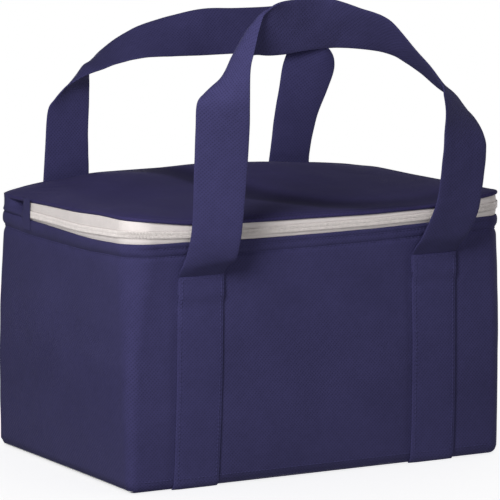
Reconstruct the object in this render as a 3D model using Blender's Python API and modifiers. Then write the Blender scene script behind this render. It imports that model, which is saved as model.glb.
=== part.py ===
"""Insulated cooler bag: a non-woven fabric box with foam and foil inside, a zipped lid and two handles.

Units are metres. The frame has +X along the front, +Y to the back and +Z up. Its origin is the middle
of the underside. The lid folds about a line that joins the two ends of its zipper.
"""
import math

import bmesh
import bpy
from mathutils import Vector

# Driving dimensions
WIDTH = 0.330                   # outside, along X
DEPTH = 0.216                   # outside, along Y
WALL_TOP = 0.1887               # top edge of the outer wall, where the zipper tape shows
LID_EDGE = 0.203                # underside of the lid fabric at its rim
LID_CROWN = 0.008               # how far the back of the lid rises above its rim
LID_SLOPE = 0.8                 # share of the depth over which it rises
CORNER = 0.014                  # radius of the upright corners
CORNER_STEPS = 6
FOLD_Y = 0.062                  # the lid's fold line, level with the two ends of the zipper
GAP = 0.0003                    # clearance between pieces that touch
MIN_RADIUS = 0.002              # smallest corner radius of the inner layers

# Cloth, foam and foil
FABRIC = 0.001
FOAM = 0.003
FOIL = 0.0004
TAPE = 0.0008
BINDING_DEPTH = 0.015           # how far the mouth binding reaches down inside
SEAM_DEPTH = 0.0125             # how far the zipper tape and hinge band reach down behind the wall

# Layers of the wall, as distances in from the outside face
TAPE_INSET = FABRIC + GAP
FOAM_INSET = TAPE_INSET + TAPE + GAP
FOIL_INSET = FOAM_INSET + FOAM + GAP
BINDING_INSET = FOIL_INSET + FOIL + GAP
FOAM_DROP = 0.0027              # how far the foam and foil stop below the wall's top edge
WALL_FOAM_TOP = WALL_TOP - FOAM_DROP

# Zipper: two coils with room between them for the slider's web
COIL_HEIGHT = 0.0015
COIL_DEPTH = 0.0015
COIL_MIDDLE = 0.1955
COIL_HALF_SPLIT = 0.0006
COIL_INSET = TAPE_INSET - GAP - COIL_DEPTH
LID_BINDING_BOTTOM = 0.1985
LID_FOAM_INSET = TAPE_INSET + 2 * TAPE + 2 * GAP + GAP

# Slider, at the closed end of the zipper on the right side
SLIDER_Y = 0.050
SLIDER_LENGTH = 0.012
SLIDER_HEIGHT = 0.010
SLIDER_PLATE = 0.0014
SLIDER_INNER_PLATE = 0.0008
SLIDER_INNER_HALF = 0.0026
SLIDER_WEB = 0.0006
SLIDER_FACE = WIDTH / 2 - COIL_INSET + GAP + SLIDER_PLATE
PIN_RADIUS = 0.0006
PIN_CLEARANCE = 0.00035
PIN_X = SLIDER_FACE + PIN_CLEARANCE + PIN_RADIUS
BAIL_THICKNESS = 0.0012
BAIL_WIDTH = 0.0014
BAIL_REACH = 0.0041
BAIL_FACE = PIN_X + PIN_RADIUS + PIN_CLEARANCE + BAIL_THICKNESS
PULL_THICKNESS = 0.001
PULL_WIDTH = 0.006
PULL_LENGTH = 0.029
EYE_LENGTH = 0.0052
EYE_HALF_WIDTH = 0.0017

# Straps and handles
STRAP_WIDTH = 0.040
STRAP_THICKNESS = 0.002
STRAP_X = 0.106                 # middle of each sewn strap
STRAP_TOP = 0.165
STRAP_Y = DEPTH / 2 + GAP + STRAP_THICKNESS / 2
HANDLE_START = STRAP_TOP + 0.0015
HANDLE_Y = STRAP_Y + STRAP_THICKNESS + GAP

# Each handle is a flat ribbon. A row gives its outer and its inner edge, in millimetres, from the
# left leg over the top to the right leg. The ribbon turns over at both upper corners.
FRONT_HANDLE = (
    ((-126, -111.6, 166.5), (-86, -111.6, 166.5)),
    ((-123, -113, 176), (-85, -119, 178)),
    ((-121, -120, 192), (-84, -133, 194)),
    ((-120, -128, 212), (-83, -140, 213)),
    ((-122, -136, 260), (-83, -146, 259)),
    ((-121, -142, 305), (-83, -149, 307)),
    ((-110, -136, 314), (-90, -161, 321)),
    ((-97, -131, 323), (-93, -166, 333)),
    ((-83, -129, 340), (-90, -167, 346)),
    ((-72, -128, 354), (-86, -166, 358)),
    ((-66, -128, 357), (-80, -164, 370)),
    ((-64, -129, 353), (-70, -161, 377)),
    ((-58, -133, 346), (-54, -154, 380)),
    ((-46, -138, 343), (-35, -147, 380)),
    ((-28, -140, 341), (-17, -144, 380)),
    ((-3, -138, 341), (-5, -148, 378)),
    ((23, -136, 338), (12, -154, 372)),
    ((52, -136, 332), (36, -159, 361)),
    ((77, -135, 318), (56, -162, 340)),
    ((102, -132, 299), (82, -165, 309)),
    ((116, -135, 287), (87, -161, 296)),
    ((127, -140, 274), (92, -154, 284)),
    ((132, -142, 262), (93, -149, 268)),
    ((133, -141, 246), (94, -147, 249)),
    ((134, -137, 218), (95, -141, 222)),
    ((134, -131, 199), (94, -134, 204)),
    ((130, -119, 179), (90, -119, 181)),
    ((126, -111.6, 166.5), (86, -111.6, 166.5)),
)
BACK_HANDLE = (
    ((-126, 111.6, 166.5), (-86, 111.6, 166.5)),
    ((-125, 115, 178), (-85, 115, 178)),
    ((-122, 120, 192), (-82, 119, 192)),
    ((-120, 121, 208), (-80, 121, 208)),
    ((-118, 121, 240), (-79, 124, 238)),
    ((-116, 121, 264), (-76, 128, 263)),
    ((-111, 119, 273), (-74, 131, 276)),
    ((-104, 115, 281), (-73, 137, 284)),
    ((-95, 111, 287), (-74, 143, 286)),
    ((-86, 109, 292), (-73, 146, 288)),
    ((-75, 108, 297), (-65, 146, 296)),
    ((-60, 108, 301), (-52, 146, 308)),
    ((-36, 109, 303), (-27, 143, 320)),
    ((-7, 113, 302), (3, 137, 329)),
    ((30, 119, 300), (30, 129, 337)),
    ((61, 121, 298), (60, 126, 336)),
    ((88, 119, 297), (95, 128, 335)),
    ((114, 117, 298), (120, 131, 335)),
    ((128, 112, 300), (140, 137, 328)),
    ((136, 109, 298), (138, 146, 313)),
    ((142, 111, 290), (124, 144, 300)),
    ((146, 118, 278), (109, 133, 285)),
    ((142, 121, 263), (102, 128, 265)),
    ((133, 123, 238), (94, 124, 239)),
    ((127, 124, 208), (87, 122, 209)),
    ((126, 120, 192), (86, 120, 192)),
    ((126, 115, 178), (86, 115, 178)),
    ((126, 111.6, 166.5), (86, 111.6, 166.5)),
)
HANDLE_STEPS = 3                # sections between two rows
HANDLE_ACROSS = 2

# Lid grid
LID_COLUMNS = 14
LID_ROWS = 9

MILLIMETRE = 0.001
PIVOT_SIZE = 0.02               # how large a joint's empty is drawn

# Colours as linear values
NAVY = (0.036, 0.032, 0.095)
NAVY_DARK = (0.027, 0.024, 0.072)
OFF_WHITE = (0.55, 0.51, 0.48)
COIL_WHITE = (0.46, 0.42, 0.39)
FOAM_WHITE = (0.72, 0.72, 0.70)
FOIL_SILVER = (0.78, 0.79, 0.80)
PAINTED_WHITE = (0.62, 0.60, 0.57)


def make_collection(name):
    collection = bpy.data.collections.new(name)
    bpy.context.scene.collection.children.link(collection)
    return collection


def make_material(name, colour, roughness, metallic=0.0):
    material = bpy.data.materials.new(name)
    material.use_nodes = True
    shader = material.node_tree.nodes["Principled BSDF"]
    shader.inputs["Base Color"].default_value = (*colour, 1.0)
    shader.inputs["Roughness"].default_value = roughness
    shader.inputs["Metallic"].default_value = metallic
    return material


def world_location(item):
    if item is None:
        return Vector((0.0, 0.0, 0.0))
    return item.location + world_location(item.parent)


def add_object(name, form, collection, material, pivot=None):
    """Turn a bmesh in world coordinates into an object, with its origin on its pivot if it has one."""
    bmesh.ops.translate(form, verts=form.verts, vec=-world_location(pivot))
    mesh = bpy.data.meshes.new(name)
    form.to_mesh(mesh)
    form.free()
    mesh.materials.append(material)
    item = bpy.data.objects.new(name, mesh)
    collection.objects.link(item)
    item.parent = pivot
    return item


def add_pivot(name, location, collection, parent=None):
    """An empty on a joint's axis."""
    pivot = bpy.data.objects.new(name, None)
    pivot.empty_display_size = PIVOT_SIZE
    collection.objects.link(pivot)
    pivot.parent = parent
    pivot.location = Vector(location) - world_location(parent)
    return pivot


def thicken(item, thickness, offset):
    """Give an open surface its thickness; offset -1 is behind its face, 0 is half on each side."""
    modifier = item.modifiers.new("Thickness", "SOLIDIFY")
    modifier.thickness = thickness
    modifier.offset = offset
    modifier.use_even_offset = True


def arc(centre, radius, start, end, steps):
    points = []
    for index in range(steps + 1):
        angle = math.radians(start + (end - start) * index / steps)
        points.append((centre[0] + radius * math.cos(angle), centre[1] + radius * math.sin(angle)))
    return points


def plan_corners(inset):
    """The four rounded corners of the bag's plan, moved in by inset.

    They run anticlockwise: front right, back right, back left, front left.
    """
    half_x = WIDTH / 2 - inset
    half_y = DEPTH / 2 - inset
    radius = max(CORNER - inset, MIN_RADIUS)
    corners = []
    for sign_x, sign_y, start in ((1, -1, -90), (1, 1, 0), (-1, 1, 90), (-1, -1, 180)):
        centre = (sign_x * (half_x - radius), sign_y * (half_y - radius))
        corners.append(arc(centre, radius, start, start + 90, CORNER_STEPS))
    return corners


def whole_plan(inset):
    return [point for corner in plan_corners(inset) for point in corner]


def front_run(inset):
    """The plan in front of the fold line, from the left side round the front to the right side."""
    end_y = FOLD_Y - GAP
    half_x = WIDTH / 2 - inset
    front_right, _, _, front_left = plan_corners(inset)
    return [(-half_x, end_y), *front_left, *front_right, (half_x, end_y)]


def back_run(inset):
    """The plan behind the fold line, from the right side round the back to the left side."""
    end_y = FOLD_Y + GAP
    half_x = WIDTH / 2 - inset
    _, back_right, back_left, _ = plan_corners(inset)
    return [(half_x, end_y), *back_right, *back_left, (-half_x, end_y)]


def plan_surface(sections, plan, closed, rise=None):
    """An open surface through a plan outline, drawn at each (inset, height) in turn.

    Its faces look outwards. Where rise is given, the last section is lifted by rise(x, y).
    """
    form = bmesh.new()
    lines = []
    for inset, height in sections:
        lines.append([form.verts.new((x, y, height)) for x, y in plan(inset)])
    if rise is not None:
        for vert in lines[-1]:
            vert.co.z += rise(vert.co.x, vert.co.y)
    count = len(lines[0])
    for lower, upper in zip(lines, lines[1:]):
        for index in range(count if closed else count - 1):
            following = (index + 1) % count
            form.faces.new((lower[index], lower[following], upper[following], upper[index]))
    return form


def upright(plan, inset, bottom, top, closed=False, rise=None):
    return plan_surface(((inset, bottom), (inset, top)), plan, closed, rise)


def extrude_solid(form, faces, move):
    """Extrude flat faces into a closed solid that faces outwards."""
    result = bmesh.ops.extrude_face_region(form, geom=faces)
    moved = [item for item in result["geom"] if isinstance(item, bmesh.types.BMVert)]
    bmesh.ops.translate(form, verts=moved, vec=move)
    bmesh.ops.recalc_face_normals(form, faces=form.faces[:])
    return form


def flat_solid(points, move):
    """A solid made by moving the outline given by 3-D points."""
    form = bmesh.new()
    face = form.faces.new([form.verts.new(point) for point in points])
    return extrude_solid(form, [face], move)


def flat_sheet(points, height, depth):
    """A solid sheet with a plan outline, from height upwards."""
    return flat_solid([(x, y, height) for x, y in points], (0.0, 0.0, depth))


def block(low, high):
    """A solid box between two corners."""
    form = bmesh.new()
    bmesh.ops.create_cube(form, size=1.0)
    size = [b - a for a, b in zip(low, high)]
    middle = [(a + b) / 2 for a, b in zip(low, high)]
    bmesh.ops.scale(form, verts=form.verts, vec=size)
    bmesh.ops.translate(form, verts=form.verts, vec=middle)
    return form


def smooth_step(value):
    value = min(max(value, 0.0), 1.0)
    return value * value * (3.0 - 2.0 * value)


def lid_rise(x, y):
    """How far the lid stands above its rim: most along the middle of the back."""
    across = max(1.0 - (2.0 * x / WIDTH) ** 2, 0.0)
    along = smooth_step((y + DEPTH / 2) / (DEPTH * LID_SLOPE))
    return LID_CROWN * across * along


def half_width(y, inset):
    """Half the plan's width at a given y, where its corners are rounded."""
    half_x = WIDTH / 2 - inset
    half_y = DEPTH / 2 - inset
    radius = max(CORNER - inset, MIN_RADIUS)
    into_corner = abs(y) - (half_y - radius)
    if into_corner <= 0.0:
        return half_x
    return half_x - radius + math.sqrt(max(radius ** 2 - into_corner ** 2, 0.0))


def corner_rows(end, radius, towards):
    """Row positions that follow a rounded corner, starting at the rim."""
    rows = []
    for index in range(CORNER_STEPS + 1):
        angle = math.pi / 2 * index / CORNER_STEPS
        rows.append(end + towards * radius * (1.0 - math.cos(angle)))
    return rows


def lid_sheet(inset, bottom, thickness, front, back):
    """A sheet of the lid between two y values, following the lid's rise, as a solid."""
    half_y = DEPTH / 2 - inset
    radius = max(CORNER - inset, MIN_RADIUS)
    rows = []
    if front <= -half_y:
        rows += corner_rows(-half_y, radius, 1.0)
        front = rows[-1]
    else:
        rows.append(front)
    rounded_back = corner_rows(half_y, radius, -1.0)[::-1] if back >= half_y else [back]
    back = rounded_back[0]
    spans = max(round((back - front) / (DEPTH / LID_ROWS)), 1)
    rows += [front + (back - front) * index / spans for index in range(1, spans)]
    rows += rounded_back
    form = bmesh.new()
    grid = []
    for y in rows:
        half = half_width(y, inset)
        line = []
        for column in range(LID_COLUMNS + 1):
            x = half * (2.0 * column / LID_COLUMNS - 1.0)
            line.append(form.verts.new((x, y, bottom + lid_rise(x, y))))
        grid.append(line)
    for row in range(len(grid) - 1):
        for column in range(LID_COLUMNS):
            corners = (grid[row][column], grid[row][column + 1])
            far_corners = (grid[row + 1][column + 1], grid[row + 1][column])
            form.faces.new((*corners, *far_corners))
    return extrude_solid(form, form.faces[:], (0.0, 0.0, thickness))


def spline_point(points, index, fraction):
    """A point on a smooth curve through the points, between one and the next."""
    last = len(points) - 1
    before = points[max(index - 1, 0)]
    start = points[index]
    end = points[min(index + 1, last)]
    after = points[min(index + 2, last)]
    leave = (end - before) / 2.0
    arrive = (after - start) / 2.0
    square = fraction * fraction
    cube = square * fraction
    return (
        start * (2.0 * cube - 3.0 * square + 1.0)
        + leave * (cube - 2.0 * square + fraction)
        + end * (3.0 * square - 2.0 * cube)
        + arrive * (cube - square)
    )


def ribbon_surface(rows):
    """A strap as an open surface between its outer and inner edge."""
    outer = [Vector(row[0]) * MILLIMETRE for row in rows]
    inner = [Vector(row[1]) * MILLIMETRE for row in rows]
    form = bmesh.new()
    previous = None
    last = len(rows) - 1
    for section in range(last * HANDLE_STEPS + 1):
        index, step = divmod(section, HANDLE_STEPS)
        fraction = step / HANDLE_STEPS
        first = spline_point(outer, index, fraction)
        second = spline_point(inner, index, fraction)
        line = []
        for column in range(HANDLE_ACROSS + 1):
            line.append(form.verts.new(first.lerp(second, column / HANDLE_ACROSS)))
        if previous is not None:
            for column in range(HANDLE_ACROSS):
                form.faces.new((previous[column], previous[column + 1], line[column + 1], line[column]))
        previous = line
    return form


def build_body(parts, materials):
    """The fabric box, its foam, its foil liner, the binding of its mouth and the hinge band."""
    wall = upright(whole_plan, 0.0, 0.0, WALL_TOP, closed=True)
    thicken(add_object("outer_wall", wall, parts, materials["navy"]), FABRIC, -1)

    bottom = flat_sheet(whole_plan(TAPE_INSET), 0.0, FABRIC)
    add_object("bottom_panel", bottom, parts, materials["navy"])

    foam_bottom = FABRIC + GAP
    foam = flat_sheet(whole_plan(FOIL_INSET), foam_bottom, FOAM)
    add_object("bottom_foam", foam, parts, materials["foam"])

    foam = upright(whole_plan, FOAM_INSET, foam_bottom, WALL_FOAM_TOP, closed=True)
    thicken(add_object("wall_foam", foam, parts, materials["foam"]), FOAM, -1)

    liner_bottom = foam_bottom + FOAM + GAP
    liner = upright(whole_plan, FOIL_INSET, liner_bottom, WALL_FOAM_TOP, closed=True)
    floor = [vert for vert in liner.verts if vert.co.z < liner_bottom + GAP]
    liner.faces.new(floor[::-1])
    thicken(add_object("foil_liner", liner, parts, materials["foil"]), FOIL, -1)

    cap = WALL_FOAM_TOP + GAP
    sections = ((BINDING_INSET, cap - BINDING_DEPTH), (BINDING_INSET, cap), (FOAM_INSET, cap))
    binding = plan_surface(sections, whole_plan, closed=True)
    thicken(add_object("mouth_binding", binding, parts, materials["navy_dark"]), TAPE, -1)

    band = upright(back_run, TAPE_INSET, WALL_TOP - SEAM_DEPTH, LID_EDGE - GAP, rise=lid_rise)
    thicken(add_object("hinge_band", band, parts, materials["navy_dark"]), TAPE, -1)


def build_zipper(parts, materials, lid_pivot):
    """Two tapes, each with its coil, from one end of the fold line round the front to the other."""
    lower_top = COIL_MIDDLE - COIL_HALF_SPLIT
    upper_bottom = COIL_MIDDLE + COIL_HALF_SPLIT
    halves = (
        ("lower", None, WALL_TOP - SEAM_DEPTH, lower_top, lower_top - COIL_HEIGHT, lower_top),
        ("upper", lid_pivot, upper_bottom, LID_EDGE - GAP, upper_bottom, upper_bottom + COIL_HEIGHT),
    )
    for half, pivot, tape_bottom, tape_top, coil_bottom, coil_top in halves:
        tape = upright(front_run, TAPE_INSET, tape_bottom, tape_top)
        item = add_object(f"zip_tape_{half}", tape, parts, materials["tape"], pivot)
        thicken(item, TAPE, -1)
        coil = upright(front_run, COIL_INSET, coil_bottom, coil_top)
        item = add_object(f"zip_coil_{half}", coil, parts, materials["coil"], pivot)
        thicken(item, COIL_DEPTH, -1)


def build_lid(parts, materials, lid_pivot):
    """The lid: a moving flap in front of the fold line, and the part behind it that stays down."""
    layers = (
        ("panel", "navy", 0.0, LID_EDGE, FABRIC),
        ("foam", "foam", LID_FOAM_INSET, LID_EDGE - GAP - FOAM, FOAM),
        ("liner", "foil", LID_FOAM_INSET, LID_EDGE - 2 * GAP - FOAM - FOIL, FOIL),
    )
    for layer, material, inset, bottom, thickness in layers:
        flap = lid_sheet(inset, bottom, thickness, -DEPTH, FOLD_Y - GAP)
        add_object(f"lid_{layer}", flap, parts, materials[material], lid_pivot)
        rear = lid_sheet(inset, bottom, thickness, FOLD_Y + GAP, DEPTH)
        add_object(f"lid_rear_{layer}", rear, parts, materials[material])

    inset = TAPE_INSET + TAPE + GAP
    binding = upright(front_run, inset, LID_BINDING_BOTTOM, LID_EDGE - GAP)
    item = add_object("lid_binding", binding, parts, materials["navy_dark"], lid_pivot)
    thicken(item, TAPE, -1)


def slider_section():
    """Two plates on either side of the zipper, joined by a web that runs between the coils."""
    half_height = SLIDER_HEIGHT / 2
    half_web = SLIDER_WEB / 2
    back = SLIDER_FACE - SLIDER_PLATE
    inner_face = WIDTH / 2 - TAPE_INSET - TAPE - GAP
    inner_back = inner_face - SLIDER_INNER_PLATE
    lower_half = (
        (inner_back, -SLIDER_INNER_HALF),
        (inner_face, -SLIDER_INNER_HALF),
        (inner_face, -half_web),
        (back, -half_web),
        (back, -half_height),
        (SLIDER_FACE, -half_height),
    )
    upper_half = tuple((x, -z) for x, z in reversed(lower_half))
    return lower_half + upper_half


def bail_section():
    """A low arch along the slider, which holds the pull's pin."""
    foot = SLIDER_FACE + GAP
    inner_face = BAIL_FACE - BAIL_THICKNESS
    inner_reach = BAIL_REACH - BAIL_THICKNESS
    return (
        (foot, -BAIL_REACH),
        (BAIL_FACE, -BAIL_REACH),
        (BAIL_FACE, BAIL_REACH),
        (foot, BAIL_REACH),
        (foot, inner_reach),
        (inner_face, inner_reach),
        (inner_face, -inner_reach),
        (foot, -inner_reach),
    )


def build_slider(parts, cutters, materials):
    """The slider, parked at the closed end on the right side, and its pull, which lies forward."""
    slide = add_pivot("slider_slide", (0.0, SLIDER_Y, COIL_MIDDLE), parts)
    near = SLIDER_Y - SLIDER_LENGTH / 2
    outline = [(x, near, COIL_MIDDLE + z) for x, z in slider_section()]
    body = flat_solid(outline, (0.0, SLIDER_LENGTH, 0.0))
    add_object("slider_body", body, parts, materials["painted"], slide)

    low = COIL_MIDDLE - BAIL_WIDTH / 2
    outline = [(x, SLIDER_Y + y, low) for x, y in bail_section()]
    bail = flat_solid(outline, (0.0, 0.0, BAIL_WIDTH))
    add_object("slider_bail", bail, parts, materials["painted"], slide)

    hinge = add_pivot("pull_hinge", (PIN_X, SLIDER_Y, COIL_MIDDLE), parts, slide)
    half = PULL_THICKNESS / 2
    plate = block(
        (PIN_X - half, SLIDER_Y - PULL_LENGTH, COIL_MIDDLE - PULL_WIDTH / 2),
        (PIN_X + half, SLIDER_Y + PIN_RADIUS, COIL_MIDDLE + PULL_WIDTH / 2),
    )
    eye = block(
        (PIN_X - PULL_THICKNESS, SLIDER_Y - EYE_LENGTH, COIL_MIDDLE - EYE_HALF_WIDTH),
        (PIN_X + PULL_THICKNESS, SLIDER_Y - PIN_RADIUS, COIL_MIDDLE + EYE_HALF_WIDTH),
    )
    pull = add_object("pull_tab", plate, parts, materials["painted"], hinge)
    cutter = add_object("pull_eye_cutter", eye, cutters, materials["painted"], hinge)
    cutter.hide_render = True
    cutter.display_type = "WIRE"
    cut = pull.modifiers.new("Eye", "BOOLEAN")
    cut.operation = "DIFFERENCE"
    cut.object = cutter


def build_straps(parts, materials):
    """The four sewn straps and the two free handles above them."""
    for side, sign, rows in (("front", -1, FRONT_HANDLE), ("back", 1, BACK_HANDLE)):
        middle = sign * STRAP_Y
        for hand, x in (("left", -STRAP_X), ("right", STRAP_X)):
            low = (x - STRAP_WIDTH / 2, middle - STRAP_THICKNESS / 2, GAP)
            high = (x + STRAP_WIDTH / 2, middle + STRAP_THICKNESS / 2, STRAP_TOP)
            add_object(f"strap_{side}_{hand}", block(low, high), parts, materials["strap"])
        pivot = add_pivot(f"handle_{side}_pivot", (0.0, sign * HANDLE_Y, HANDLE_START), parts)
        handle = add_object(f"handle_{side}", ribbon_surface(rows), parts, materials["strap"], pivot)
        thicken(handle, STRAP_THICKNESS, 0)


def main():
    for item in list(bpy.data.objects):
        bpy.data.objects.remove(item, do_unlink=True)
    parts = make_collection("Cooler bag")
    cutters = make_collection("Cutters")
    materials = {
        "navy": make_material("Navy non-woven", NAVY, 0.85),
        "navy_dark": make_material("Navy binding", NAVY_DARK, 0.85),
        "strap": make_material("Navy strap", NAVY, 0.8),
        "foam": make_material("White foam", FOAM_WHITE, 0.9),
        "foil": make_material("Silver foil", FOIL_SILVER, 0.3, 1.0),
        "tape": make_material("Off-white tape", OFF_WHITE, 0.8),
        "coil": make_material("Off-white coil", COIL_WHITE, 0.45),
        "painted": make_material("White painted metal", PAINTED_WHITE, 0.35),
    }
    fold_height = LID_EDGE + FABRIC + LID_CROWN + GAP
    lid_pivot = add_pivot("lid_fold", (0.0, FOLD_Y, fold_height), parts)
    build_body(parts, materials)
    build_zipper(parts, materials, lid_pivot)
    build_lid(parts, materials, lid_pivot)
    build_straps(parts, materials)
    build_slider(parts, cutters, materials)


main()
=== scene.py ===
"""Looks of an insulated cooler bag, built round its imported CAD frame.

Units are metres. +X runs along the front, +Y to the back and +Z up. The origin is the middle of the
underside. Every cloth piece is lofted by code from the same wall and lid shapes, so the layers nest.
"""

import math

import bmesh
import bpy
import numpy as np
from mathutils import Matrix, Vector, noise


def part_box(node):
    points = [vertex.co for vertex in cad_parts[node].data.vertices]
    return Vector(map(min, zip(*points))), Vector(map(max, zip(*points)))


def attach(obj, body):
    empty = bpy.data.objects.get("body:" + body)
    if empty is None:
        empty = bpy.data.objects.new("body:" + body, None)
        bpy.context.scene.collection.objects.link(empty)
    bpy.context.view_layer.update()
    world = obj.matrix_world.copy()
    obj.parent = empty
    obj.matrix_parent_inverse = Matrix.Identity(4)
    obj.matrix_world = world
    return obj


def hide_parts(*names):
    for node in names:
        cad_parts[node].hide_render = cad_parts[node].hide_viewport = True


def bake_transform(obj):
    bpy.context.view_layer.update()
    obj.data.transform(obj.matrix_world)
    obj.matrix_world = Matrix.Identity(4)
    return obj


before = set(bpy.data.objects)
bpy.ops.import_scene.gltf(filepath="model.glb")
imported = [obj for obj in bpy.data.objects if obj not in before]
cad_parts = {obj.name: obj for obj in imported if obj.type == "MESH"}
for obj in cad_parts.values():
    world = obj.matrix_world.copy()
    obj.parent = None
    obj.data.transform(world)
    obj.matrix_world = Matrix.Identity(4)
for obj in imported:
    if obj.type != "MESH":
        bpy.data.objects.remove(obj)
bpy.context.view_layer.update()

# ---------------------------------------------------------------- sizes taken from the CAD frame
_, wall_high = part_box("outer_wall")
flap_low, flap_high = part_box("lid_panel")
_, coil_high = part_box("zip_coil_lower")
FRONT_STUFFING = 0.0012             # front and back are stuffed a little fuller than the CAD wall
LEFT_STAND = 0.0010                 # and so is the left wall
HALF_W = wall_high.x
HALF_D = wall_high.y + FRONT_STUFFING
WIDTH = 2 * HALF_W
DEPTH = 2 * HALF_D
PERIMETER = 2 * (WIDTH + DEPTH)
BACK_START = WIDTH + DEPTH          # distance along the perimeter at which the back starts
LEFT_START = 2 * WIDTH + DEPTH      # and the left side
WALL_TOP = wall_high.z
RIM = flap_low.z                    # underside of the lid's cloth at its edge
LID_CLOTH = 0.0012                  # from there to the top of the cloth
FOLD_Y = flap_high.y                # the lid's fold line
COIL_GAP = 0.0006                   # from the lower coil's top to the zipper's middle
ZIP_MIDDLE = coil_high.z + COIL_GAP
ZIP_SHARE = (ZIP_MIDDLE - WALL_TOP) / (RIM - WALL_TOP)
STRAP_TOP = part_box("strap_front_left")[1].z

# ---------------------------------------------------------------- layers: how far in they lie, and heights
TAPE_IN = 0.0016
FOAM_IN = 0.0026
LINER_IN = 0.0062
FOAM_LOW = 0.0016                   # underside of the foam under the lining's floor
FOAM_HIGH = 0.0046                  # and its top
LINER_FOOT = 0.0105                 # height at which the lining's walls turn in to its floor
LINER_FLOOR = 0.0053
FOAM_DROP = 0.0030                  # how far foam and lining stop below the wall's top edge

# ---------------------------------------------------------------- the bag's plan
REACH = 0.024                       # how far a corner's columns run back along each side
BOTTOM_RADIUS = 0.0070
BOTTOM_EDGE = 0.0062                # radius of the bag's bottom edge
TOP_RADIUS = {"FR": 0.012, "BR": 0.018, "BL": 0.016, "FL": 0.021}
CORNER_CELLS = 18
FRONT_CELLS = 104

# Lifts along the perimeter, which starts at the front left corner and runs along the front. Each pair is
# a distance and a lift, in millimetres.
LID_LIFT = (
    (0, 9.3), (11, 9.0), (27, 6.7), (49, 3.3), (105, 1.0), (159, 0.0), (213, -1.3), (267, -1.0),
    (295, 1.0), (318, 4.4), (328, 5.7), (345, 4.3), (360, 3.7), (415, 1.0), (468, -1.5), (500, -2.6),
    (523, -3.4), (546, -5.6), (570, -2.5), (594, 0.0), (648, 3.0), (698, 5.3), (794, 6.3), (845, 2.2),
    (876, -2.2), (922, 0.0), (971, 3.0), (1011, 4.6), (1051, 8.2), (1082, 9.2), (1092, 9.3),
)
WALL_LIFT = (
    (0, 4.0), (11, 4.0), (27, 3.4), (49, 3.0), (105, 0.9), (159, 0.3), (213, 0.0), (267, 0.8),
    (318, 1.2), (330, 1.4), (360, 1.0), (420, 0.0), (546, 0.0), (876, 0.0), (1011, 0.0), (1040, 0.6),
    (1072, 2.8), (1092, 4.0),
)
SEAM_DROP = (
    (0, 10.5), (330, 10.5), (546, 10.5), (876, 11.0), (930, 12.6), (1000, 11.2), (1060, 9.8), (1092, 10.5),
)

# How far the zipper's middle line strays from its usual share of the tapes' height, in thousandths.
ZIP_STRAY = (
    (0, -90), (165, -70), (300, -60), (340, 0), (480, 0), (920, -180), (1000, -170), (1060, -120),
    (1092, -90),
)

# The lid's soft valley, as a line in plan, and how deep it is along the line, in millimetres.
VALLEY = (
    (-58, 134, 1.8), (-45, 96, 3.0), (-34, 84, 3.4), (-25, 66, 3.8), (-14, 20, 4.0), (-5, -28, 4.0),
    (4, -46, 4.0), (13, -60, 3.8), (26, -76, 3.4), (46, -88, 3.0), (78, -94, 2.4), (112, -90, 1.8),
    (170, -78, 1.2),
)

# The handles: each row is the outer and the inner edge of the ribbon, in millimetres, from the left leg
# over the top to the right leg. A third place is how far the ribbon's middle bows out between its edges.
FRONT_HANDLE = (
    ((-124, -111.6, 166.5), (-85, -111.6, 166.5)),
    ((-125, -116, 171), (-87, -120, 172)),
    ((-124, -120, 178), (-85, -130, 180)),
    ((-122, -125, 192), (-85, -136, 194)),
    ((-121, -128, 211), (-85, -140, 212)),
    ((-123, -134, 250), (-85, -146, 249)),
    ((-124, -138, 284), (-87, -153, 283)),
    ((-124, -140, 303), (-89, -157, 302)),
    ((-116, -137, 310), (-90, -159, 317)),
    ((-103, -136, 319), (-90, -160, 331), (-1, 1, 3)),
    ((-94, -136, 328), (-86, -158, 341), (-4, 2, 5)),
    ((-87, -137, 333), (-82, -155, 349), (-3, 2, 9)),
    ((-80, -138, 335), (-78, -153, 359), (-2, 1, 12)),
    ((-73, -139, 337), (-73, -152, 369), (0, 0, 12)),
    ((-60, -135, 335), (-66, -155, 376), (0, 0, 6)),
    ((-45, -134, 335), (-52, -153, 378)),
    ((-28, -135, 337), (-25, -151, 378)),
    ((-4, -134, 337), (-12, -153, 376)),
    ((20, -136, 335), (8, -154, 369)),
    ((47, -136, 329), (31, -159, 359)),
    ((70, -135, 315), (50, -162, 339)),
    ((92, -132, 299), (77, -160, 309), (1, 0, 1)),
    ((109, -134, 287), (81, -160, 297), (3, -2, 2)),
    ((123, -138, 272), (86, -155, 282), (1, 0, 1)),
    ((129, -140, 258), (88, -150, 266)),
    ((130, -140, 245), (89, -147, 248)),
    ((129, -137, 217), (89, -141, 221)),
    ((128, -132, 198), (88, -135, 203)),
    ((124, -125, 181), (84, -125, 182)),
    ((121, -117, 172), (82, -117, 172)),
    ((120, -111.6, 166.5), (81, -111.6, 166.5)),
)
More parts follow.
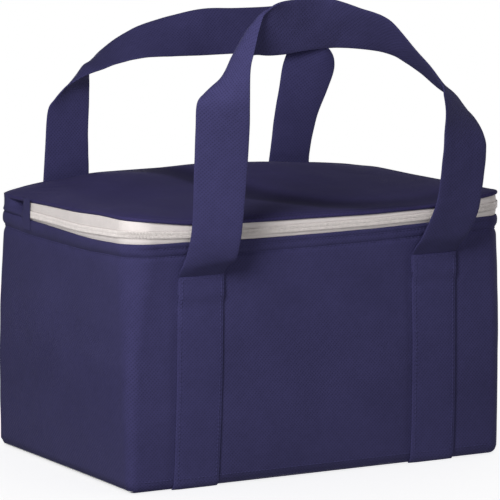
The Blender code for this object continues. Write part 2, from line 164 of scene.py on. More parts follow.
BACK_HANDLE = (
    ((-124, 111.6, 166.5), (-85, 111.6, 166.5)),
    ((-123, 115, 178), (-84, 115, 178)),
    ((-120, 120, 192), (-81, 119, 192)),
    ((-118, 121, 207), (-79, 121, 207)),
    ((-116, 121, 239), (-78, 124, 237)),
    ((-114, 121, 262), (-75, 128, 261)),
    ((-109, 119, 271), (-73, 131, 274)),
    ((-102, 115, 280), (-70, 136, 280), (-1, 1, 2)),
    ((-94, 111, 286), (-67, 141, 285), (-3, 2, 3)),
    ((-83, 109, 291), (-65, 143, 290), (-4, 2, 4)),
    ((-72, 108, 294), (-62, 144, 296), (-2, 1, 2)),
    ((-58, 108, 298), (-50, 146, 305)),
    ((-35, 109, 300), (-27, 143, 318)),
    ((-7, 113, 299), (3, 137, 327)),
    ((30, 119, 297), (30, 129, 332)),
    ((60, 121, 296), (59, 126, 331)),
    ((87, 119, 295), (94, 128, 330)),
    ((112, 117, 296), (118, 131, 332)),
    ((126, 112, 298), (138, 137, 325)),
    ((134, 109, 296), (136, 146, 311)),
    ((140, 111, 288), (122, 144, 298)),
    ((144, 118, 276), (107, 133, 283)),
    ((140, 121, 261), (100, 128, 263)),
    ((131, 123, 237), (93, 124, 238)),
    ((125, 124, 207), (88, 122, 208)),
    ((124, 120, 192), (85, 120, 192)),
    ((124, 115, 178), (85, 115, 178)),
    ((124, 111.6, 166.5), (85, 111.6, 166.5)),
)
STRAP_HALF = 0.0190
STRAP_THICK = 0.0016
# Middle of each sewn strap at its foot and at its top.
STRAP_MIDDLES = {
    ("front", "left"): (-0.1083, -0.1050),
    ("front", "right"): (0.1022, 0.1018),
    ("back", "left"): (-0.1060, -0.1060),
    ("back", "right"): (0.1065, 0.1060),
}

STITCH_PITCH = 0.0032
STITCH_WIDTH = 0.00075
STITCH_CLEAR = 0.0001               # from the cloth's face to a stitch's middle
LID_SEAM = 0.0042                   # how far the lid's row of stitches lies in from its edge
TOOTH_PITCH = 0.0011
TABLE_CELLS = 1092                  # cells of a perimeter table


# ---------------------------------------------------------------- small helpers
def smooth(value):
    value = np.clip(value, 0.0, 1.0)
    return value * value * (3.0 - 2.0 * value)


def dip(value, middle, width):
    """A bell-shaped curve, 1 at its middle."""
    return np.exp(-(((value - middle) / width) ** 2))


def perimeter_table(pairs, spread):
    """A closed curve through (distance, lift) pairs in millimetres, smoothed over spread."""
    cell = PERIMETER / TABLE_CELLS
    keys = np.array(pairs, float) / 1000.0
    values = np.interp(np.arange(TABLE_CELLS) * PERIMETER / TABLE_CELLS, keys[:, 0], keys[:, 1])
    reach = int(4 * spread / PERIMETER * TABLE_CELLS)
    offsets = np.arange(-reach, reach + 1)
    weights = np.exp(-0.5 * (offsets * cell / spread) ** 2)
    weights /= weights.sum()
    wrapped = np.concatenate([values[-reach:], values, values[:reach]])
    return np.convolve(wrapped, weights, "valid")


def read_table(table, distance):
    place = np.mod(np.asarray(distance, float), PERIMETER) / PERIMETER * len(table)
    low = np.floor(place).astype(int) % len(table)
    share = place - np.floor(place)
    return table[low] * (1 - share) + table[(low + 1) % len(table)] * share


lid_lift_table = perimeter_table(LID_LIFT, 0.007)
wall_lift_table = perimeter_table(WALL_LIFT, 0.007)
seam_drop_table = perimeter_table(SEAM_DROP, 0.010)
zip_stray_table = perimeter_table(ZIP_STRAY, 0.010)


def ripple(points, size, seed):
    """Smooth noise at each point, about -1 to 1, with bumps of the given size."""
    shift = Vector((seed * 3.1, seed * 7.7, seed * 1.3))
    return np.array([noise.noise(Vector(p) / size + shift) for p in points])


# ---------------------------------------------------------------- the wall's plan, as columns
def build_columns():
    """Columns anticlockwise from the front left: straight runs at fixed places and four corners."""
    edge_x = HALF_W - REACH
    edge_y = HALF_D - REACH
    columns = []
    straight_x = np.linspace(-edge_x, edge_x, FRONT_CELLS + 1)
    forward = np.linspace(-edge_y, FOLD_Y, 52)
    rear = np.linspace(FOLD_Y, edge_y, 9)[1:]
    straight_y = np.concatenate([forward, rear])
    sides = (
        ("front", [(x, -HALF_D) for x in straight_x], (0, -1), "FR"),
        ("right", [(HALF_W, y) for y in straight_y], (1, 0), "BR"),
        ("back", [(x, HALF_D) for x in straight_x[::-1]], (0, 1), "BL"),
        ("left", [(-HALF_W, y) for y in straight_y[::-1]], (-1, 0), "FL"),
    )
    for side, places, normal, corner in sides:
        for place in places:
            columns.append((side, place, normal, None, 0.0))
        for step in range(1, CORNER_CELLS):
            columns.append((side, None, normal, corner, step / CORNER_CELLS))
    return columns


COLUMNS = build_columns()
APEX = {
    "FR": (HALF_W, -HALF_D),
    "BR": (HALF_W, HALF_D),
    "BL": (-HALF_W, HALF_D),
    "FL": (-HALF_W, -HALF_D),
}
INCOMING = {"FR": (1, 0), "BR": (0, 1), "BL": (-1, 0), "FL": (0, -1)}


def perimeter_place(x, y, nx, ny):
    """Distance along the sharp-cornered perimeter, from the front left corner."""
    if abs(ny) >= abs(nx):
        return x + HALF_W if ny < 0 else BACK_START + HALF_W - x
    return WIDTH + y + HALF_D if nx > 0 else LEFT_START + HALF_D - y


CORNER_PLACES = {"FR": WIDTH, "BR": BACK_START, "BL": LEFT_START, "FL": PERIMETER}


def column_places():
    places = []
    for _, place, normal, corner, share in COLUMNS:
        if corner is None:
            places.append(perimeter_place(*place, *normal))
        else:
            places.append((CORNER_PLACES[corner] - REACH + 2 * REACH * share) % PERIMETER)
    return np.array(places)


PLACES = column_places()
WALL_LIFTS = read_table(wall_lift_table, PLACES)
LID_LIFTS = read_table(lid_lift_table, PLACES)
SEAM_DROPS = read_table(seam_drop_table, PLACES)
WALL_TOPS = WALL_TOP + WALL_LIFTS
LID_RIMS = RIM + LID_LIFTS
ZIP_LINE = WALL_TOPS + (ZIP_SHARE + read_table(zip_stray_table, PLACES)) * (LID_RIMS - WALL_TOPS)
# On the right side the zipper runs straight and level, along the slider's path.
LEVEL = smooth((PLACES - WIDTH - 0.012) / 0.010) * (PLACES < BACK_START)
ZIP_LINE = ZIP_LINE + (ZIP_MIDDLE - ZIP_LINE) * LEVEL


def corner_radius(corner, height):
    share = smooth((height - 0.085) / 0.105)
    return BOTTOM_RADIUS + (TOP_RADIUS[corner] - BOTTOM_RADIUS) * share


def plan_line(heights):
    """Where each column meets its height on the wall's nominal face, and its outward normal in plan."""
    points = np.zeros((len(COLUMNS), 2))
    normals = np.zeros((len(COLUMNS), 2))
    for index, (_, place, normal, corner, share) in enumerate(COLUMNS):
        if corner is None:
            points[index] = place
            normals[index] = normal
            continue
        radius = float(corner_radius(corner, heights[index]))
        straight = REACH - radius
        bend = math.pi / 2 * radius
        along = share * (2 * straight + bend)
        apex = np.array(APEX[corner], float)
        into = np.array(INCOMING[corner], float)
        onward = np.array((-into[1], into[0]))
        if along <= straight:
            points[index] = apex - into * (REACH - along)
            normals[index] = -onward
        elif along >= straight + bend:
            points[index] = apex + onward * (radius + along - straight - bend)
            normals[index] = into
        else:
            angle = (along - straight) / radius
            direction = into * math.sin(angle) - onward * math.cos(angle)
            points[index] = apex - into * radius + onward * radius + direction * radius
            normals[index] = direction
    return points, normals


def strap_grooves(x, ny, z):
    """The wall is drawn in a little along the edges of the sewn straps."""
    pull = np.zeros_like(x)
    for (side, _), (foot, top) in STRAP_MIDDLES.items():
        facing = np.clip(-ny if side == "front" else ny, 0, 1) ** 4
        middle = foot + (top - foot) * z / STRAP_TOP
        inside = smooth((STRAP_TOP + 0.004 - z) / 0.008)
        for edge, depth in ((-STRAP_HALF - 0.0012, 0.0008), (STRAP_HALF + 0.0012, 0.0004)):
            pull += facing * inside * depth * dip(x, middle + edge, 0.0030)
        under = smooth((STRAP_HALF - np.abs(x - middle)) / 0.004)
        pull += facing * inside * 0.0004 * under
    return pull


def swell(x, y, nx, ny, z, wall_top):
    """How far the padded wall stands out from its nominal face."""
    height = np.clip(z / (wall_top - 0.0105), 0.0, 1.0)
    belly = np.sin(np.pi * height) ** 0.7
    low_belly = np.sin(np.pi * height ** 0.72) ** 0.9
    across_x = 1.0 - np.clip(np.abs(x / HALF_W), 0, 1) ** 2.6
    across_y = 1.0 - np.clip(np.abs(y / HALF_D), 0, 1) ** 2.6
    out = 0.0008 * belly + LEFT_STAND * np.clip(-nx, 0, 1)
    out = out + across_x * low_belly * (0.0036 * np.clip(-ny, 0, 1) ** 2 + 0.0032 * np.clip(ny, 0, 1) ** 2)
    out = out + across_y * belly * (0.0026 * np.clip(-nx, 0, 1) ** 2 + 0.0030 * np.clip(nx, 0, 1) ** 2)
    points = np.stack([x, y, z], axis=1)
    fade = np.clip(belly * 1.6, 0, 1)
    out = out + fade * (0.00075 * ripple(points, 0.062, 1) + 0.00028 * ripple(points, 0.021, 2))
    # puckers along the stitched hem
    near_hem = smooth((z - wall_top + 0.017) / 0.005)
    out = out + near_hem * 0.00045 * ripple(points * np.array([1.0, 1.0, 0.4]), 0.0075, 7)
    # shallow diagonal drag lines that run in from the lower corners and the straps
    slanted = points * np.array([1.0, 1.0, 0.35]) + points[:, [2]] * np.array([0.35, 0.35, 0.0])
    drag = ripple(slanted, 0.017, 5)
    out = out + fade * 0.00022 * drag
    return out - strap_grooves(x, ny, z)


def hem(below, seam, front_back):
    """The rolled hem above the seam: how far it stands out at a distance below the wall's top edge."""
    share = below / seam
    roll = (0.0013 - 0.0009 * front_back) * np.clip(1.0 - np.abs(share * 2.0 - 0.98) ** 2.6, 0.0, 1.0)
    groove = -(0.0014 - 0.0007 * front_back) * dip(below, seam, 0.0034 - 0.0021 * front_back)
    upper = -0.0007 * dip(below, 0.0040, 0.0012) * front_back
    hollow = -0.0005 * front_back * smooth((below - 0.0035) / 0.002) * smooth((seam + 0.0035 - below) / 0.005)
    return roll + groove + upper + hollow


def wall_line(heights, out=0.0):
    """The wall's true line round the bag at one height for each column, moved outwards by out."""
    points, normals = plan_line(heights)
    x, y = points.T
    nx, ny = normals.T
    below = WALL_TOPS - heights
    stand = swell(x, y, nx, ny, heights, WALL_TOPS) + hem(below, SEAM_DROPS, np.clip(np.abs(ny), 0, 1) ** 3)
    total = stand + out
    line = np.stack([x + nx * total, y + ny * total, heights], axis=1)
    return line, normals


def face_y(side, x, z, out):
    """The Y of the front or back wall at a place on its face."""
    x = np.asarray(x, float)
    z = np.asarray(z, float) + np.zeros_like(x)
    sign = -1.0 if side == "front" else 1.0
    place = x + HALF_W if side == "front" else BACK_START + HALF_W - x
    tops = WALL_TOP + read_table(wall_lift_table, place)
    seams = read_table(seam_drop_table, place)
    y = np.full_like(x, sign * HALF_D)
    normal_y = np.full_like(x, sign)
    stand = swell(x, y, np.zeros_like(x), normal_y, z, tops)
    stand = stand + hem(tops - z, seams, np.ones_like(x))
    curl = BOTTOM_EDGE - np.sqrt(BOTTOM_EDGE ** 2 - np.clip(BOTTOM_EDGE - z, 0, BOTTOM_EDGE) ** 2)
    return y + sign * (stand + out - 0.6 * curl)


# ---------------------------------------------------------------- the lid's shape
def coons(x, y):
    """The lid's rim lift carried smoothly across the whole lid."""
    u = np.clip((x + HALF_W) / WIDTH, 0, 1)
    v = np.clip((y + HALF_D) / DEPTH, 0, 1)
    front = read_table(lid_lift_table, u * WIDTH)
    right = read_table(lid_lift_table, WIDTH + v * DEPTH)
    back = read_table(lid_lift_table, BACK_START + (1 - u) * WIDTH)
    left = read_table(lid_lift_table, LEFT_START + (1 - v) * DEPTH)
    corners = [float(read_table(lid_lift_table, start)) for start in (0, WIDTH, BACK_START, LEFT_START)]
    flat = (
        (1 - u) * (1 - v) * corners[0]
        + u * (1 - v) * corners[1]
        + u * v * corners[2]
        + (1 - u) * v * corners[3]
    )
    return (1 - v) * front + v * back + (1 - u) * left + u * right - flat


def rim_distance(x, y):
    """How far inside the lid's rounded outline a point lies."""
    radius = np.where(
        y < 0,
        np.where(x < 0, TOP_RADIUS["FL"], TOP_RADIUS["FR"]),
        np.where(x < 0, TOP_RADIUS["BL"], TOP_RADIUS["BR"]),
    )
    qx = np.abs(x) - (HALF_W - radius)
    qy = np.abs(y) - (HALF_D - radius)
    outside = np.hypot(np.maximum(qx, 0), np.maximum(qy, 0))
    return radius - outside - np.minimum(np.maximum(qx, qy), 0)


def valley_reaches(x, y):
    """For each stretch of the valley's line: distance from it, side of it, and its depth there."""
    line = np.array(VALLEY, float) / 1000.0
    for start, end in zip(line, line[1:]):
        run = end[:2] - start[:2]
        share = np.clip(((x - start[0]) * run[0] + (y - start[1]) * run[1]) / (run @ run), 0, 1)
        away = np.hypot(x - start[0] - share * run[0], y - start[1] - share * run[1])
        side = np.sign((x - start[0]) * run[1] - (y - start[1]) * run[0])
        yield away, side, start[2] + share * (end[2] - start[2])


def valley(x, y):
    """Depth of the lid's soft valley at a point."""
    best = np.full(x.shape, 1e9)
    depth = np.zeros(x.shape)
    for away, side, floor in valley_reaches(x, y):
        width = np.where(side > 0, 0.030, 0.019)
        closer = away < best
        best = np.where(closer, away, best)
        depth = np.where(closer, floor * np.exp(-((away / width) ** 2)), depth)
    return depth


def valley_shade(x, y):
    """Painted shade for the lid's valley, where the foam under it has been creased: how far the cloth's
    colour is darkened there.
    """
    shadow = np.zeros(x.shape)
    for away, _, floor in valley_reaches(x, y):
        shadow = np.maximum(shadow, np.minimum(floor / 0.003, 1.0) * np.exp(-((away / 0.017) ** 4)))
    return shadow


def lid_height(x, y):
    """The lid's top face."""
    inside = np.clip(rim_distance(x, y), 0.0, None)
    pillow = 1.0 - np.exp(-inside / 0.013)
    rise = 0.0042 * smooth((y + 0.02) / 0.10) * smooth((0.150 - np.abs(x)) / 0.09)
    crown = 0.0030 - 0.0027 * smooth((x - 0.02) / 0.12) + rise
    points = np.stack([x, y, np.zeros_like(x)], axis=1)
    wrinkle = 0.0008 * ripple(points, 0.055, 11) + 0.0003 * ripple(points, 0.018, 12)
    z = RIM + LID_CLOTH + coons(x, y) + pillow * (crown + wrinkle - valley(x, y))
    # creases that fan out from the back left corner
    from_corner = np.hypot(x + HALF_W, y - HALF_D)
    angle = np.arctan2(HALF_D - y, x + HALF_W)
    fan = np.sin(angle * 26.0) * dip(from_corner, 0.040, 0.018) * 0.00045
    z = z + pillow * fan
    edge_seam = -0.0009 * dip(inside, LID_SEAM, 0.0011)
    return z + edge_seam


def lid_grid(columns, inset):
    """Plan positions of a lid layer as a grid of rows from front to back."""
    depths = REACH * (1 - np.cos(np.linspace(0, math.pi / 2, 15)))
    front_rows = -HALF_D + depths
    back_rows = HALF_D - depths[::-1]
    middle = np.concatenate([
        np.linspace(front_rows[-1], FOLD_Y, 44)[1:],
        np.linspace(FOLD_Y, back_rows[0], 8)[1:-1],
    ])
    rows = np.concatenate([front_rows, middle, back_rows])
    grid = np.zeros((len(rows), columns + 1, 2))
    for index, y in enumerate(rows):
        ends = []
        for corner in (("FL", "FR") if y < 0 else ("BL", "BR")):
            radius = TOP_RADIUS[corner]
            into = abs(y) - (HALF_D - radius)
            half = HALF_W
            if into > 0:
                half = HALF_W - radius + math.sqrt(max(radius ** 2 - into ** 2, 0.0))
            ends.append(half)
        grid[index, :, 0] = np.linspace(-ends[0], ends[1], columns + 1)
        grid[index, :, 1] = y
    if inset:
        shrink = np.array([(HALF_W - inset) / HALF_W, (HALF_D - inset) / HALF_D])
        grid = grid * shrink
    return grid


# ---------------------------------------------------------------- mesh builders
def add_mesh(name, points, faces, uvs=None, material=None, shade=True):
    """A mesh object from points and faces; uvs gives a pair for each face corner, in metres of cloth."""
    mesh = bpy.data.meshes.new(name)
    mesh.from_pydata([tuple(p) for p in np.asarray(points, float)], [], [tuple(f) for f in faces])
    if uvs is not None:
        layer = mesh.uv_layers.new(name="Cloth")
        layer.data.foreach_set("uv", np.asarray(uvs, np.float32).ravel())
    mesh.polygons.foreach_set("use_smooth", [shade] * len(mesh.polygons))
    mesh.update()
    item = bpy.data.objects.new(name, mesh)
    bpy.context.scene.collection.objects.link(item)
    if material is not None:
        mesh.materials.append(material)
    return item


def cells(rows, columns, closed=False):
    """Row, column and four corner numbers of each cell of a grid; closed joins its last column on."""
    for row in range(rows - 1):
        for column in range(columns if closed else columns - 1):
            following = (column + 1) % columns
            low, high = row * columns, (row + 1) * columns
            yield row, column, (low + column, low + following, high + following, high + column)


def cap(faces, uvs, corners):
    """Close a grid of faces with one many-sided face."""
    faces.append(tuple(corners))
    uvs += [(0.0, 0.0)] * len(corners)


def loft(rows, closed):
    """Faces and cloth coordinates of a grid of points; closed joins the last column to the first."""
    rows = np.asarray(rows, float)
    count, width = rows.shape[:2]
    middle = rows[count // 2]
    steps = np.linalg.norm(np.roll(middle, -1, axis=0) - middle, axis=1)
    across = np.concatenate([[0.0], np.cumsum(steps)])
    climbs = np.linalg.norm(np.diff(rows, axis=0), axis=2).mean(axis=1)
    up = np.concatenate([[0.0], np.cumsum(climbs)])
    faces, uvs = [], []
    for row, column, corners in cells(count, width, closed):
        faces.append(corners)
        left, right = across[column], across[column + 1]
        uvs += [(left, up[row]), (right, up[row]), (right, up[row + 1]), (left, up[row + 1])]
    return faces, uvs


def loft_object(name, rows, closed, material):
    faces, uvs = loft(rows, closed)
    return add_mesh(name, np.asarray(rows).reshape(-1, 3), faces, uvs, material)


def clone_shapes(template, template_faces, centres, along, across, normal, sizes):
    """Many copies of one small shape. Its x runs along, its y across and its z along the normal."""
    scaled = template[None, :, :] * np.asarray(sizes, float)[:, None, :]
    points = (
        centres[:, None, :]
        + scaled[:, :, 0:1] * along[:, None, :]
        + scaled[:, :, 1:2] * across[:, None, :]
        + scaled[:, :, 2:3] * normal[:, None, :]
    )
    count = len(template)
    faces = []
    for index in range(len(centres)):
        base = index * count
        faces += [tuple(base + corner for corner in face) for face in template_faces]
    return points.reshape(-1, 3), faces


def rod(sections, around, turn=0.0):
    """A small closed rod along x, from sections that each give a place, a size and a lift."""
    points = []
    for x, size, lift in sections:
        for step in range(around):
            angle = 2 * math.pi * (step + turn) / around
            points.append((x, 0.5 * size * math.cos(angle), 0.5 * size * math.sin(angle) + lift * 0.5))
    faces = [corners for _, _, corners in cells(len(sections), around, True)]
    faces.append(tuple(range(around))[::-1])
    faces.append(tuple(range((len(sections) - 1) * around, len(sections) * around)))
    return np.array(points), faces


# One stitch: a short arched thread whose two ends go down into the cloth.
STITCH_POINTS, STITCH_FACES = rod(
    ((-0.46, 0.55, -0.9), (-0.22, 0.95, 0.25), (0.22, 0.95, 0.25), (0.46, 0.55, -0.9)), 6
)


def resample(line, normals, pitch, closed):
    """Evenly spaced places along a line, with the direction along it and the normal there."""
    line = np.asarray(line, float)
    normals = np.asarray(normals, float)
    if closed:
        line = np.vstack([line, line[:1]])
        normals = np.vstack([normals, normals[:1]])
    steps = np.linalg.norm(np.diff(line, axis=0), axis=1)
    along = np.concatenate([[0.0], np.cumsum(steps)])
    count = max(int(round(along[-1] / pitch)), 1)
    places = (np.arange(count) + 0.5) * along[-1] / count

    def read(values, at):
        return np.stack([np.interp(at, along, values[:, k]) for k in range(3)], axis=1)

    centres = read(line, places)
    nearby = 0.3 * pitch
    ahead = read(line, places + nearby)
    behind = read(line, places - nearby)
    direction = ahead - behind
    direction /= np.linalg.norm(direction, axis=1, keepdims=True)
    facing = read(normals, places)
    facing -= direction * (facing * direction).sum(axis=1, keepdims=True)
    facing /= np.linalg.norm(facing, axis=1, keepdims=True)
    return centres, direction, facing


class Threads:
    """Collects stitches for one object."""

    def __init__(self):
        self.points = []
        self.faces = []
        self.count = 0

    def row(self, line, normals, closed=False, pitch=STITCH_PITCH, width=STITCH_WIDTH):
        centres, direction, facing = resample(line, normals, pitch, closed)
        across = np.cross(facing, direction)
        sizes = np.tile([pitch * 0.92, width, width], (len(centres), 1))
        points, faces = clone_shapes(STITCH_POINTS, STITCH_FACES, centres, direction, across, facing, sizes)
        self.faces += [tuple(corner + self.count for corner in face) for face in faces]
        self.points.append(points)
        self.count += len(points)

    def build(self, name, material):
        return add_mesh(name, np.concatenate(self.points), self.faces, None, material)


def dress(item, body, slot, *nodes):
    """Put a piece on its body in place of its CAD nodes; the slot argument is not used."""
    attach(item, body)
    if nodes:
        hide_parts(*nodes)


# ---------------------------------------------------------------- materials
class Look:
    """A node material, with short ways to add nodes to it."""

    def __init__(self, name):
        self.material = bpy.data.materials.new(name)
        self.material.use_nodes = True
        self.tree = self.material.node_tree
        self.place = self.node("ShaderNodeTexCoord", "Object")

    def connect(self, node, sockets):
        """Give a node's sockets their values, or a link where the value is another node's output."""
        for name, value in sockets.items():
            if isinstance(value, bpy.types.NodeSocket):
                self.tree.links.new(value, node.inputs[name])
            else:
                node.inputs[name].default_value = value

    def node(self, kind, output, sockets=(), **settings):
        node = self.tree.nodes.new(kind)
        for key, value in settings.items():
            setattr(node, key, value)
        self.connect(node, dict(sockets))
        return node.outputs[output]

    def maths(self, operation, *values, clamp=False):
        return self.node("ShaderNodeMath", 0, enumerate(values), operation=operation, use_clamp=clamp)

    def mix_in(self, value, amount, rest):
        return self.maths("MULTIPLY_ADD", value, amount, rest)

    def noise(self, scale, detail=2.0, roughness=0.5, distortion=0.0):
        return self.node("ShaderNodeTexNoise", "Fac", {
            "Vector": self.place,
            "Scale": scale,
            "Detail": detail,
            "Roughness": roughness,
            "Distortion": distortion,
        })

    def cells(self, scale, vector=None, feature="F1"):
        vector = self.place if vector is None else vector
        return self.node(
            "ShaderNodeTexVoronoi", "Distance", {"Scale": scale, "Vector": vector}, feature=feature
        )

    def cloth(self):
        """The two directions along the cloth, in metres."""
        split = self.tree.nodes.new("ShaderNodeSeparateXYZ")
        self.connect(split, {0: self.node("ShaderNodeUVMap", "UV", uv_map="Cloth")})
        return split.outputs[0], split.outputs[1]

    def ramp(self, factor, *stops):
        node = self.tree.nodes.new("ShaderNodeValToRGB")
        elements = node.color_ramp.elements
        while len(elements) < len(stops):
            elements.new(0.5)
        for element, (place, colour) in zip(elements, stops):
            element.position = place
            element.color = (*colour, 1.0)
        self.connect(node, {"Fac": factor})
        return node.outputs["Color"]

    def bump(self, height, distance, strength, normal=None):
        sockets = {"Strength": strength, "Distance": distance, "Height": height}
        if normal is not None:
            sockets["Normal"] = normal
        return self.node("ShaderNodeBump", "Normal", sockets)

    def surface(self, **sockets):
        """Set the shader's sockets, named with underscores for spaces, and return the material."""
        shader = self.tree.nodes["Principled BSDF"]
        self.connect(shader, {name.replace("_", " "): value for name, value in sockets.items()})
        return self.material


def shade(colour, factor):
    return tuple(channel * factor for channel in colour)


def pressed_points(look, pitch):
    """The small diagonal points at which the cloth's fibres are pressed together, 0 to 1."""
    along, across = look.cloth()
    turn = 2 * math.pi / (pitch * math.sqrt(2))
    wobble = look.maths("MULTIPLY", look.noise(330.0, 1.0), 0.00045)
    first = look.maths("ADD", look.maths("ADD", along, across), wobble)
    second = look.maths("SUBTRACT", look.maths("SUBTRACT", along, across), wobble)
    first = look.maths("COSINE", look.maths("MULTIPLY", first, turn))
    second = look.maths("COSINE", look.maths("MULTIPLY", second, turn * 0.82))
    dots = look.maths("MULTIPLY", look.maths("ADD", first, 1.0), look.maths("ADD", second, 1.0))
    return look.maths("POWER", look.maths("MULTIPLY", dots, 0.25, clamp=True), 1.3)


def spunbond(name, colour, pitch=0.0019, mapped=True, contrast=0.85, painted_valley_shade=False):
    """Spunbonded non-woven cloth: fine fibres pressed together at small diagonal points."""
    look = Look(name)
    mottle = look.noise(22.0, 3.0, 0.55)
    blotch = look.noise(210.0, 3.0, 0.6)
    fibre = look.noise(2600.0, 3.0, 0.65, 0.6)
    if mapped:
        dots = pressed_points(look, pitch)
    else:
        dots = look.maths("SUBTRACT", 0.6, look.cells(1.0 / pitch), clamp=True)
    tone = look.mix_in(mottle, 0.36, 0.30)
    tone = look.mix_in(blotch, 0.26, tone)
    tone = look.mix_in(fibre, 0.40, tone)
    tone = look.mix_in(dots, -0.52 * contrast, tone)
    tone = look.maths("SUBTRACT", tone, 0.17)
    paint = look.ramp(
        tone,
        (0.0, shade(colour, 1 - 0.50 * contrast)),
        (0.5, colour),
        (1.0, shade(colour, 1 + 0.70 * contrast)),
    )
    # painted shade: the colour is darkened along the lid's valley, by the point attribute that valley_shade
    # fills
    if painted_valley_shade:
        shadow = look.node("ShaderNodeAttribute", "Fac", attribute_name="Painted_shade")
        dim = look.maths("MULTIPLY_ADD", shadow, -0.52, 1.0, clamp=True)
        paint = look.node("ShaderNodeVectorMath", 0, {0: paint, "Scale": dim}, operation="SCALE")
    height = look.mix_in(dots, -0.7, look.maths("MULTIPLY", fibre, 0.45))
    return look.surface(
        Base_Color=paint,
        Roughness=look.mix_in(blotch, 0.06, look.mix_in(dots, -0.16, 0.86)),
        Normal=look.bump(blotch, 0.0006, 0.30, look.bump(height, 0.00022, 0.9)),
        Sheen_Weight=0.03,
        Sheen_Roughness=0.45,
        Sheen_Tint=(0.40, 0.40, 0.75, 1.0),
        Specular_IOR_Level=0.07,
    )


def woven_tape(name, colour):
    """Knitted zipper tape: fine ribs along it and finer ones across."""
    look = Look(name)
    along, across = look.cloth()
    ribs = look.maths("SINE", look.maths("MULTIPLY", along, 2 * math.pi / 0.0009))
    slant = look.maths("ADD", along, across)
    twill = look.maths("SINE", look.maths("MULTIPLY", slant, 2 * math.pi / 0.0007))
    weave = look.mix_in(ribs, 0.5, look.maths("MULTIPLY", twill, 0.5))
    grime = look.noise(90.0, 4.0, 0.6)
    fuzz = look.noise(2200.0, 2.0, 0.6)
    tone = look.mix_in(weave, 0.08, look.mix_in(fuzz, 0.5, 0.05))
    tone = look.mix_in(grime, 0.4, tone)
    return look.surface(
        Base_Color=look.ramp(tone, (0.15, shade(colour, 0.80)), (0.55, colour), (0.95, shade(colour, 1.14))),
        Roughness=look.mix_in(fuzz, 0.12, 0.74),
        Normal=look.bump(look.mix_in(weave, 0.5, fuzz), 0.00012, 0.7),
        Sheen_Weight=0.08,
        Specular_IOR_Level=0.3,
    )


def nylon(name, colour):
    """Moulded nylon with a soft gloss and slight unevenness."""
    look = Look(name)
    uneven = look.noise(380.0, 3.0, 0.6)
    return look.surface(
        Base_Color=look.ramp(uneven, (0.2, shade(colour, 0.86)), (0.8, shade(colour, 1.08))),
        Roughness=look.mix_in(uneven, 0.2, 0.30),
        Normal=look.bump(uneven, 0.00008, 0.5),
    )


def foil(name):
    """Metallised film over thin foam, with many small creases."""
    look = Look(name)
    bent = look.node(
        "ShaderNodeVectorMath",
        0,
        {0: look.noise(60.0, 2.0), 1: (0.014, 0.014, 0.014), 2: look.place},
        operation="MULTIPLY_ADD",
    )
    creases = look.cells(95.0, bent, "DISTANCE_TO_EDGE")
    fine = look.noise(700.0, 4.0, 0.6)
    broad = look.noise(120.0, 3.0, 0.6, 1.5)
    ridge = look.maths("POWER", look.maths("SUBTRACT", 1.0, creases, clamp=True), 8.0)
    tone = look.mix_in(ridge, 0.25, look.maths("MULTIPLY", broad, 0.8))
    first = look.bump(ridge, 0.0008, 0.8)
    second = look.bump(broad, 0.0022, 0.8, first)
    return look.surface(
        Base_Color=look.ramp(tone, (0.1, (0.55, 0.56, 0.58)), (0.6, (0.78, 0.79, 0.80)), (1.0, (0.88,) * 3)),
        Roughness=look.mix_in(fine, 0.22, look.mix_in(ridge, 0.15, 0.18)),
        Normal=look.bump(fine, 0.00025, 0.5, second),
        Metallic=1.0,
    )


def closed_cell(name, colour):
    """Closed-cell foam."""
    look = Look(name)
    bubbles = look.cells(900.0)
    return look.surface(
        Base_Color=look.ramp(bubbles, (0.0, shade(colour, 0.85)), (0.7, colour)),
        Roughness=look.mix_in(bubbles, 0.1, 0.8),
        Normal=look.bump(bubbles, 0.0003, 0.5),
    )


def painted_metal(name, colour):
    """Enamelled metal with a thin clear coat."""
    look = Look(name)
    peel = look.noise(900.0, 2.0, 0.5)
    wear = look.noise(160.0, 4.0, 0.7)
    return look.surface(
        Base_Color=look.ramp(wear, (0.25, shade(colour, 0.82)), (0.6, colour), (0.9, shade(colour, 1.05))),
        Roughness=look.mix_in(wear, 0.25, 0.22),
        Normal=look.bump(peel, 0.00006, 0.6),
        Coat_Weight=0.3,
        Coat_Roughness=0.15,
    )


NAVY = (0.0375, 0.0345, 0.099)
STRAP_NAVY = (0.0390, 0.0360, 0.104)
# painted shade: a darker, more purple copy of the walls' navy, for the dimmer light on the lid's top
LID_NAVY_SHADED = (0.0335, 0.0284, 0.0920)
BINDING_NAVY = (0.030, 0.027, 0.078)
THREAD_NAVY = (0.048, 0.045, 0.122)
TAPE_WHITE = (0.74, 0.685, 0.67)

navy = spunbond("Navy non-woven", NAVY)
# painted shade: the lid's cloth takes the darker copy of the navy and is darkened along its valley
lid_navy_shaded = spunbond("Navy non-woven lid with painted shade", LID_NAVY_SHADED, painted_valley_shade=True)
strap_navy = spunbond("Navy strap", STRAP_NAVY)
binding_navy = spunbond("Navy binding", BINDING_NAVY, pitch=0.0012)
thread = spunbond("Navy thread", THREAD_NAVY, pitch=0.0005, mapped=False, contrast=0.6)
tape_white = woven_tape("Off-white tape", TAPE_WHITE)
coil_white = nylon("Off-white nylon", (0.69, 0.64, 0.62))
silver = foil("Silver film")
foam_white = closed_cell("White foam", (0.80, 0.80, 0.78))
enamel = painted_metal("White enamel", (0.66, 0.64, 0.61))


# ---------------------------------------------------------------- the bag's cloth shell
FOLD_RIGHT = WIDTH + FOLD_Y + HALF_D              # where the fold line meets the right side
FOLD_LEFT = LEFT_START + HALF_D - FOLD_Y         # and the left side, along the perimeter


